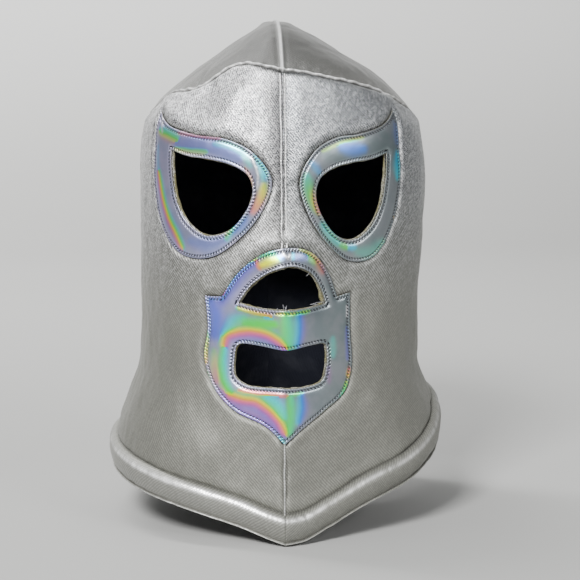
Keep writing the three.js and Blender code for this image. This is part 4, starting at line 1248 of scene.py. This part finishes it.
def hologram():
    """Holographic film: lilac on the left and darker grey on the right as painted light, with painted
    streaks of the spectrum, puckered along its stitches
    """
    material, begin = start_material("hologram_film")
    east, north, glow, tick, far, glint = (
        begin.attribute(name) for name in ("hue_east", "hue_north", "glow", "tick", "far", "glint")
    )
    place = begin.place()
    haze = begin.noise(place, 75.0, 3.0)
    fine = begin.noise(place, 1100.0, 2.0)
    in_rim = 1 - far.ramp(STITCH_INSET + 0.3, STITCH_INSET + 0.9)
    pucker = ((tick + far * 0.3) * (2 * math.pi)).sine() * 0.5 + 0.5
    pull = pucker.ramp(0.35, 0.9) * in_rim
    on_line = far.ramp(0.9, 1.3) * (1 - far.ramp(2.1, 2.5))
    hole = (1 - pucker.ramp(0.3, 0.8)) * on_line
    rim = pull * (1 - far.ramp(0.5, 1.2))
    hue = begin.maths("ARCTAN2", north, east) * (1 / (2 * math.pi)) + haze * 0.08 + pull * 0.08
    spectrum = begin.node("ShaderNodeValToRGB", {"stops": [
        (0.0, (0.24, 0.14, 0.85)), (0.13, (0.03, 0.28, 0.98)), (0.24, (0.0, 0.76, 0.96)),
        (0.34, (0.0, 0.92, 0.44)), (0.44, (0.08, 0.96, 0.06)), (0.56, (0.94, 0.95, 0.0)),
        (0.66, (1.0, 0.44, 0.08)), (0.74, (0.95, 0.2, 0.3)), (0.86, (0.52, 0.12, 0.5)),
        (1.0, (0.24, 0.14, 0.85)),
    ]}, {0: begin.maths("FRACT", hue - 0.04)})
    # Painted light: the film is paler lilac on the left, towards the light, and darker grey on the right
    right = place.part(0).ramp(-0.04, 0.03)
    patches = haze.ramp(0.35, 0.65)
    lilac = begin.mix(patches, (0.36, 0.38, 0.56), (0.46, 0.43, 0.62))
    grey = begin.mix(patches, (0.21, 0.255, 0.265), (0.27, 0.295, 0.315))
    colour = begin.mix(glow, begin.mix(right, lilac, grey), spectrum)
    colour = begin.mix(in_rim * 0.25, colour, (0.1, 0.1, 0.11))
    # Painted highlight: the puckered rims and the creases turned near white
    colour = begin.mix(rim * 0.1 + glint * 0.9, colour, (0.92, 0.92, 0.95))
    # Painted shade: dark needle holes between the stitches
    colour = begin.mix(hole * 0.92, colour, (0.01, 0.01, 0.014))
    finish_material(begin, pull * 1.2 + haze * 0.8 + fine * 0.08, 0.4, 0.0006, {
        "Base Color": colour,
        "Metallic": 0.9,
        "Roughness": 0.28 + fine * 0.1,
        "Coat Weight": 0.04,
        "Coat Roughness": 0.2,
    })
    return material


def thread():
    """Pale polyester sewing thread, two strands twisted"""
    material, begin = start_material("pale_thread")
    place = begin.place()
    fuzz = begin.noise(place, 1800.0, 2.0)
    wear_and_painted_light = begin.noise(place, 120.0, 2.0)
    colour = begin.mix(fuzz.ramp(0.3, 0.7), (0.09, 0.09, 0.1), (0.28, 0.28, 0.3))
    colour = begin.mix(wear_and_painted_light.ramp(0.5, 0.75) * 0.6, colour, (0.3, 0.3, 0.29))
    finish_material(begin, fuzz, 0.5, 0.0003, {
        "Base Color": colour,
        "Roughness": 0.55 + fuzz * 0.2,
        "Sheen Weight": 0.3,
    })
    return material


FILM, THREAD = hologram(), thread()


def stitch_tree():
    """A node tree that puts one stitch, pulled tight at both ends, on each point of a mesh"""
    tree = bpy.data.node_groups.new("stitches", "GeometryNodeTree")
    sockets = {}
    kinds = {"Points": "Geometry", "Length": "Float", "Width": "Float", "Height": "Float",
             "Unevenness": "Float", "Seed": "Int", "Thread": "Material"}
    for name, kind in kinds.items():
        made = tree.interface.new_socket(
            name=name, in_out="INPUT", socket_type=f"NodeSocket{kind}")
        sockets[name] = made.identifier
    tree.interface.new_socket(name="Geometry", in_out="OUTPUT", socket_type="NodeSocketGeometry")
    begin = Strand(tree)
    entry = begin.node("NodeGroupInput").socket.node
    given = {name: Strand(tree, entry.outputs[name]) for name in kinds}
    stitch = begin.node("GeometryNodeMeshUVSphere", {}, {"Segments": 6, "Rings": 4, "Radius": 0.5})
    way, up = (
        begin.node("GeometryNodeInputNamedAttribute", {"data_type": "FLOAT_VECTOR"}, {"Name": name})
        for name in ("way", "up")
    )
    turned = begin.node(
        "FunctionNodeAxesToRotation", {"primary_axis": "X", "secondary_axis": "Z"},
        {"Primary Axis": way, "Secondary Axis": up})
    size = begin.node(
        "ShaderNodeCombineXYZ", {}, {0: given["Length"], 1: given["Width"], 2: given["Height"]})
    uneven = begin.node(
        "FunctionNodeRandomValue", {"data_type": "FLOAT"},
        {2: 1 - given["Unevenness"], 3: 1 + given["Unevenness"], "Seed": given["Seed"]}, 1)
    size = begin.node("ShaderNodeVectorMath", {"operation": "SCALE"}, {0: size, "Scale": uneven})
    laid = begin.node("GeometryNodeInstanceOnPoints", {}, {
        "Points": given["Points"], "Instance": stitch, "Rotation": turned, "Scale": size})
    real = begin.node("GeometryNodeRealizeInstances", {}, {"Geometry": laid})
    smooth = begin.node("GeometryNodeSetShadeSmooth", {}, {"Geometry": real})
    finished = begin.node(
        "GeometryNodeSetMaterial", {}, {"Geometry": smooth, "Material": given["Thread"]})
    begin.node("NodeGroupOutput", {}, {"Geometry": finished})
    return tree, sockets


STITCHES, STITCH_INPUTS = stitch_tree()


def sew(name, rows, length, width, height):
    """Lines of stitches as one piece; rows are (points, ways, ups) in mm"""
    points, ways, ups = (np.concatenate(part) for part in zip(*rows))
    mesh = bpy.data.meshes.new(name)
    mesh.from_pydata((points * MM).tolist(), [], [])
    for key, vectors in (("way", ways), ("up", ups)):
        layer = mesh.attributes.new(key, "FLOAT_VECTOR", "POINT")
        layer.data.foreach_set("vector", vectors.astype(np.float32).ravel())
    piece = put(name, mesh)
    sewn = piece.modifiers.new("stitches", "NODES")
    sewn.node_group = STITCHES
    values = {"Length": length * MM, "Width": width * MM, "Height": height * MM,
              "Unevenness": 0.16, "Seed": 5, "Thread": THREAD}
    for key, value in values.items():
        sewn[STITCH_INPUTS[key]] = value
    bpy.context.view_layer.update()
    seen = piece.evaluated_get(bpy.context.evaluated_depsgraph_get())
    made = bpy.data.meshes.new_from_object(seen)
    piece.modifiers.clear()
    piece.data = made
    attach(piece, "root")


def stitch_row(place, spots, slant, closed=False):
    """Where the stitches of one line lie, how they run and which way is up; slant in degrees"""
    beyond = spots[:1] if closed else 2 * spots[-1:] - spots[-2:-1]
    ahead = np.vstack([spots[1:], beyond])
    points, above = place(spots, 0.0), place(spots, 1.0)
    ways, ups = unit(place(ahead, 0.0) - points), unit(above - points)
    turn = math.radians(slant)
    ways = ways * math.cos(turn) + np.cross(ups, ways) * math.sin(turn)
    return points, ways, ups


# As FACE_ROWS and FACE_GRID; the two skins lie this far over and under the swell of the facing
FACING_ROWS = (0.35, 0.8, 1.3, 1.7, 2.1, 2.7, 3.5)
FACING_GRID = 1.0
SKIN_OVER, SKIN_UNDER = 0.35, 0.15
STITCH_SLANT = 24


def facing(name, side, box, streaks, loops, node):
    """A facing with its stitches along each of its edges"""
    places, triangles = cut(loops, FACING_ROWS, grid_in(loops, FACING_GRID), clear=4.1)
    rise, tick, far = facing_rise(places, loops)
    east, north, glow = painted_film_rainbow(places, side, box, streaks)
    glint = crease_depth(places, side, box, CREASES[name])
    rise += 0.4 * glint
    piece = shell(
        name, places, triangles, lay_dressed, top=rise + SKIN_OVER, under=rise - SKIN_UNDER,
        edge=((0.05, 0.5),), finishes=[FILM, FOAM], edge_finish=lambda spots: np.ones(len(spots)),
        uv=places, extra={
            "hue_east": east, "hue_north": north, "glow": glow, "tick": tick, "far": far, "glint": glint,
        },
    )
    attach(piece, "root")
    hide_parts(node)
    for k, loop in enumerate(loops):
        fine = resample(loop, STITCH_PITCH / 12, True)
        count = stitch_count(loop)
        picked = np.round((np.arange(count) + 0.25) / count * len(fine)).astype(int) % len(fine)
        spots = offset(fine, inward(loop, k) * STITCH_INSET)[picked]
        spots = spots[distance(spots, loop, True) > 0.85 * STITCH_INSET]
        facing_stitches.append(
            stitch_row(lambda at, rise: lay_dressed(at, rise + 0.15), spots, STITCH_SLANT, True)
        )


facing_stitches = []
for side, word in SIDES:
    facing(
        f"eye_facing_{word}", side, EYE_FACING_BOX[side],
        LEFT_EYE_STREAKS if side < 0 else RIGHT_EYE_STREAKS, [EYE_FACINGS[side], EYE_HOLES[side]],
        f"eye_trim_{word}",
    )
facing(
    "muzzle_facing", 1, MUZZLE_BOX, MUZZLE_STREAKS, [MUZZLE_LOOP, NOSE_LOOP, MOUTH_LOOP],
    "nose_mouth_trim",
)
sew("facing_stitches", facing_stitches, length=0.75, width=0.28, height=0.28)

# Hem. A strip of the same cloth folded over a soft filling and sewn on round the neck edge, with
# a second line of stitches that leaves a thin lip below. Its profile is the height over the lower
# edge and the rise over the hood.
HEM_PROFILE = np.array([
    (0.0, -1.6), (0.25, -0.4), (0.5, 0.6), (1.1, 0.6), (1.4, 0.1), (1.7, -0.8), (2.1, 0.0),
    (4.0, 1.5), (6.5, 2.8), (9.0, 3.6), (11.5, 4.0), (13.8, 3.8), (15.6, 3.0), (16.9, 1.6),
    (17.6, 0.5), (18.0, -0.9),
])
LIP_LINE = 1.7
HEM_STITCH_PITCH = 2.6
HEM_RINGS = 420


def hem_rise(side, around, heights, base):
    """The roll's own creases: gathers at both lines of stitches, dying out on the crest"""
    run = around * HALF_GIRTH * side
    over_lip = np.exp(-np.maximum(heights - LIP_LINE, 0) / 4.5) * (heights > LIP_LINE)
    under_top = np.exp(-np.maximum(HEM_BAND_HEIGHT - heights, 0) / 4.5)
    creases = 0.35 * gather(run + 0.5 * heights, 9, 61) * over_lip
    creases += 0.22 * gather(run - 0.4 * heights, 8, 62) * under_top
    lip = 0.2 * gather(run, 7, 63) * (heights < LIP_LINE)
    pinch = (run > 3) * np.sin(run * 1.3 + heights * 0.6) * bump(run, 9, 5) * bump(heights, 15, 3)
    return creases + lip + 0.3 * pinch + 0.2 * ripple(base, 22, 21)


def hem_roll(side, word):
    """The padded roll of one half, as rings round its profile from the front to the back"""
    around = np.linspace(0, 1, HEM_RINGS)
    heights = np.concatenate([np.linspace(0, 3.6, 15), np.linspace(3.6, HEM_BAND_HEIGHT, 30)[1:]])
    outer = np.interp(heights, HEM_PROFILE[:, 0], HEM_PROFILE[:, 1])
    outer = np.convolve(np.pad(outer, 1, mode="edge"), (0.2, 0.6, 0.2), "valid")
    ring_heights = np.concatenate([heights, heights[-2:0:-1]])
    ring_rises = np.concatenate([outer, -CLOTH_THICKNESS - 0.25 * outer[-2:0:-1]])
    sides = len(ring_heights)
    outside = np.tile(np.arange(sides) < len(heights), HEM_RINGS)
    turn = np.repeat(around, sides)
    level = np.tile(ring_heights, HEM_RINGS)
    spots = np.stack([turn * HALF_GIRTH, hem_down(side, turn) - level], -1)
    creases = hem_rise(side, turn, level, lay(side, spots, 0.0)) * outside
    points = lay(side, spots, np.tile(ring_rises, HEM_RINGS) + creases)
    k = np.arange(sides)
    faces = []
    for j in range(HEM_RINGS - 1):
        a, b = j * sides + k, j * sides + (k + 1) % sides
        faces.append(np.stack([a, b, b + sides, a + sides], -1))
    front, back = k.tolist(), (k + (HEM_RINGS - 1) * sides).tolist()
    faces = np.concatenate(faces).tolist() + [front[::-1], back]
    if side > 0:
        faces = [face[::-1] for face in faces]
    run = spots[:, 0] * side
    uv = np.stack([run, np.tile(k * 0.6, HEM_RINGS)], -1)
    # The crest attribute paints highlight on the lip and along the upper roll, stronger on the left
    # towards the key light, and painted shade at the lip's stitches and at the top seam
    painted_light_share = 0.4 + 0.6 / (1 + np.exp(run / 10))
    beads = 0.6 + 0.3 * gather(run, 2.6, 64) + 0.3 * gather(run, 16, 65)
    wear_and_painted_light = 0.6 * painted_light_share * beads * bump(level, 0.8, 0.4) - 0.5 * bump(level, LIP_LINE, 0.35)
    wear_and_painted_light += 1.5 * painted_light_share * beads * bump(level, 14.4, 1.2) * np.exp(-((run / 125) ** 4))
    wear_and_painted_light += 0.12 * painted_light_share - 0.02 - 0.5 * bump(level, HEM_BAND_HEIGHT, 0.45)
    crest = np.clip(wear_and_painted_light, -1, 1) * outside
    piece = make_piece(f"hem_roll_{word}", points, faces, [LAME], None, uv, {"crest": crest})
    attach(piece, "root")
    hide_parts(f"hem_band_{word}")


hem_stitches = []
for side, word in SIDES:
    hem_roll(side, word)
    around = np.linspace(0.004, 0.996, 900)
    line = np.stack([side * around * HALF_GIRTH, hem_down(side, around) - LIP_LINE], -1)
    hem_stitches.append(stitch_row(
        lambda spots, rise, side=side: lay(side, spots, rise - 0.75),
        resample(line, HEM_STITCH_PITCH), 6,
    ))
sew("hem_stitches", hem_stitches, length=1.7, width=0.36, height=0.3)

# Loose ends. Threads that hang out of the raw cuts: a tuft under the nose hole, longer ones at its
# right corner, each as thick as the sewing thread.
THREAD_RADIUS = 0.16
THREAD_SIDES = 5
THREAD_POINTS = 12
# Start in mm round the face and down, way on the cloth in degrees from the right, length, curl
LOOSE_ENDS = (
    (-0.6, 163.4, 95, 3.4, 10), (0.1, 163.5, 80, 3.0, -15), (0.7, 163.4, 100, 2.4, 25),
    (-4.0, 163.2, 110, 1.2, 10), (25.4, 160.5, 165, 9.0, 35), (24.4, 149.0, 190, 4.5, -40),
    (15.5, 142.6, 215, 3.0, 20), (26.4, 154.0, 150, 3.2, -60), (22.0, 162.0, 155, 6.5, 30),
)


def loose_ends():
    """All the loose threads as one piece, each a thin tube with a curl"""
    points, faces = [], []
    turn = np.linspace(0, 2 * math.pi, THREAD_SIDES + 1)[:-1]
    part = np.linspace(0, 1, THREAD_POINTS)
    k, j = np.meshgrid(np.arange(THREAD_POINTS - 1), np.arange(THREAD_SIDES), indexing="ij")
    for across, down, way, length, curl in LOOSE_ENDS:
        heading = np.radians(way + curl * part)
        step = length / THREAD_POINTS
        spots = np.stack([
            across + np.cumsum(np.cos(heading)) * step, down - np.cumsum(np.sin(heading)) * step,
        ], -1)
        line = lay_both(spots, -0.6 + 1.2 * np.sin(part * math.pi))
        ahead = unit(np.gradient(line, axis=0))
        aside = unit(np.cross(ahead, (0.3, 1.0, 0.2)))
        above = np.cross(ahead, aside)
        start = len(points) * THREAD_SIDES * THREAD_POINTS + k * THREAD_SIDES
        ring = aside[:, None] * np.cos(turn)[:, None] + above[:, None] * np.sin(turn)[:, None]
        points.append((line[:, None] + ring * THREAD_RADIUS).reshape(-1, 3))
        a, b = start + j, start + (j + 1) % THREAD_SIDES
        faces.append(np.stack([a, b, b + THREAD_SIDES, a + THREAD_SIDES], -1).reshape(-1, 4))
    piece = make_piece("loose_ends", np.concatenate(points), np.concatenate(faces), [THREAD])
    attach(piece, "root")


loose_ends()

# Ridge strips. The centre-front seam is opened and stitched down on both sides, which leaves two
# raised edges with a groove between them from the forehead to the nose, and a single folded edge
# below the muzzle.
UPPER_WIDTH = 5.6
LOWER_WIDTH = 3.4
STRIP_PITCH = 1.6
STRIP_STEP = 0.4
STRIP_POINTS = 21
STRIP_THICKNESS = 1.2


def two_edges(share):
    return -0.6 + 1.15 * bump(np.abs(share), 0.62, 0.28)


def one_edge(share):
    return -0.6 + 1.35 * bump(share, -0.15, 0.42) - 0.35 * bump(share, 0.62, 0.16)


def strip_mesh(name, node, top, bottom, width, profile, notch, painted_shine):
    """A strip down the centre front; profile gives its rise across, notch the bite of stitches
    and the last how strongly its raised edges get painted highlight and its groove painted shade"""
    downs = np.arange(top, bottom, STRIP_STEP)
    across = np.tile(np.linspace(-1, 1, STRIP_POINTS), len(downs))
    spots = np.stack([across * width / 2, np.repeat(downs, STRIP_POINTS)], -1)
    bite = 0.5 - 0.5 * np.cos(2 * math.pi * spots[:, 1] / STRIP_PITCH)
    spots[:, 0] += 0.22 * gather(spots[:, 1], 14, 71)
    rise = centre_valley(spots) + profile(across) - notch * bite * (np.abs(across) < 0.9)
    rise += 0.12 * gather(spots[:, 1], 10, 72)
    outer = lay_both(spots, rise)
    under = lay_both(spots, centre_valley(spots) - STRIP_THICKNESS)
    # Painted highlight on the raised edges, brighter on the left, and painted shade in the groove
    wear_and_painted_light = np.clip(profile(across) * 3.4 + 0.1, -0.7, 1.7) * painted_shine
    beads = (1 - 0.45 * bite) * (0.9 + 0.35 * gather(spots[:, 1] + 3 * spots[:, 0], 3, 73))
    crest = np.where(across > 0, 0.8, 1.1) * wear_and_painted_light
    crest = np.clip(np.where(crest > 0, crest * beads, crest), -1, 1)
    n, m = STRIP_POINTS, len(downs)
    j, i = np.meshgrid(np.arange(m - 1), np.arange(n - 1), indexing="ij")
    a = (j * n + i).ravel()
    top_faces = np.stack([a, a + n, a + n + 1, a + 1], -1)
    low = top_faces[:, ::-1] + n * m
    rim = np.concatenate([
        np.arange(n), np.arange(1, m) * n + n - 1, np.arange(n - 2, -1, -1) + (m - 1) * n,
        np.arange(m - 2, 0, -1) * n,
    ])
    after = np.roll(rim, -1)
    wall = np.stack([rim, after, after + n * m, rim + n * m], -1)
    faces = np.concatenate([top_faces, low, wall])
    piece = make_piece(
        name, np.concatenate([outer, under]), faces, [LAME], None,
        np.concatenate([spots, spots]), {"crest": np.concatenate([crest, crest])},
    )
    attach(piece, "root")
    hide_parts(node)


forehead_seam = 0.099 * HEIGHT
strip_mesh(
    "ridge_strip_upper", "seam_strip_upper", forehead_seam + 1.2, 130.0, UPPER_WIDTH, two_edges,
    notch=0.16, painted_shine=1.0,
)
hem_top = cloth_end(1, np.array([0.0]))[0]
strip_mesh(
    "ridge_strip_lower", "seam_strip_lower", 240.2, hem_top + 0.5, LOWER_WIDTH, one_edge,
    notch=0.05, painted_shine=0.35,
)

# Studio: a pale floor that curves up behind, a soft light from the upper left, a weak one from the
# right, one on the backdrop, and the camera of the photograph. Its lengths are in m.
FLOOR_GAP = 0.0008
FLOOR_HALF_WIDTH = 3.0
FLOOR_FRONT, FLOOR_BACK = -3.0, 1.6
SWEEP_RADIUS = 0.8
SWEEP_STEPS = 16
WALL_HEIGHT = 3.5


def floor():
    """Pale paper that lies just under the hem and sweeps up behind"""
    low = float(cad_bounds[0][2]) - FLOOR_GAP
    profile = [(FLOOR_FRONT, low), (FLOOR_BACK, low)]
    for k in range(1, SWEEP_STEPS + 1):
        a = k / SWEEP_STEPS * math.pi / 2
        across, up = SWEEP_RADIUS * math.sin(a), SWEEP_RADIUS * (1 - math.cos(a))
        profile.append((FLOOR_BACK + across, low + up))
    profile.append((FLOOR_BACK + SWEEP_RADIUS, low + WALL_HEIGHT))
    points = [(x, y, z) for y, z in profile for x in (-FLOOR_HALF_WIDTH, FLOOR_HALF_WIDTH)]
    faces = [(2 * k, 2 * k + 1, 2 * k + 3, 2 * k + 2) for k in range(len(profile) - 1)]
    mesh = bpy.data.meshes.new("studio_floor")
    mesh.from_pydata(points, [], faces)
    mesh.shade_smooth()
    stage = put("studio_floor", mesh)
    material, begin = start_material("pale_paper")
    place = begin.place()
    grain = begin.noise(place, 4.0, 2.0)
    colour = begin.mix(grain, (0.37, 0.37, 0.36), (0.39, 0.39, 0.38))
    # Painted light: the paper is painted paler going up the sweep than on the floor
    colour = begin.mix(place.part(2).ramp(low, low + 0.45), colour, (0.54, 0.54, 0.53))
    finish_material(begin, grain, 0.05, 0.001, {"Base Color": colour, "Roughness": 0.85})
    mesh.materials.append(material)


floor()


def soft_light(name, place, aim, size, power):
    light = bpy.data.lights.new(name, "AREA")
    light.shape = "RECTANGLE"
    light.size, light.size_y = size
    light.energy = power
    lamp = put(name, light)
    lamp.location = place
    lamp.rotation_euler = (Vector(aim) - Vector(place)).to_track_quat("-Z", "Y").to_euler()


soft_light("key", (-0.64, -1.55, 1.0), aim=(0.0, 0.0, -0.1), size=(0.5, 0.5), power=80)
soft_light("fill", (1.3, -1.6, 0.8), aim=(0.0, 0.0, -0.12), size=(0.7, 0.7), power=18)
soft_light("backdrop", (-0.9, 0.7, 1.5), aim=(0.1, 2.3, 0.7), size=(1.6, 0.8), power=114)

world = bpy.data.worlds.new("studio")
world.use_nodes = True
world.node_tree.nodes["Background"].inputs[0].default_value = (0.78, 0.8, 0.82, 1)
world.node_tree.nodes["Background"].inputs[1].default_value = 0.33
bpy.context.scene.world = world

LENS = 112.3
CAMERA_UP, CAMERA_ROUND = math.radians(7.0), math.radians(-3.5)
CAMERA_FAR = 1.12
CAMERA_AIM = Vector((0.0092, -0.0006, -0.1619))
camera = bpy.data.cameras.new("camera")
camera.lens = LENS
camera.sensor_width = 36
camera.clip_end = 20
viewer = put("camera", camera)
away = Vector((
    math.sin(CAMERA_ROUND) * math.cos(CAMERA_UP), -math.cos(CAMERA_ROUND) * math.cos(CAMERA_UP),
    math.sin(CAMERA_UP),
))
viewer.location = CAMERA_AIM + away * CAMERA_FAR
viewer.rotation_euler = (-away).to_track_quat("-Z", "Y").to_euler()
bpy.context.scene.camera = viewer
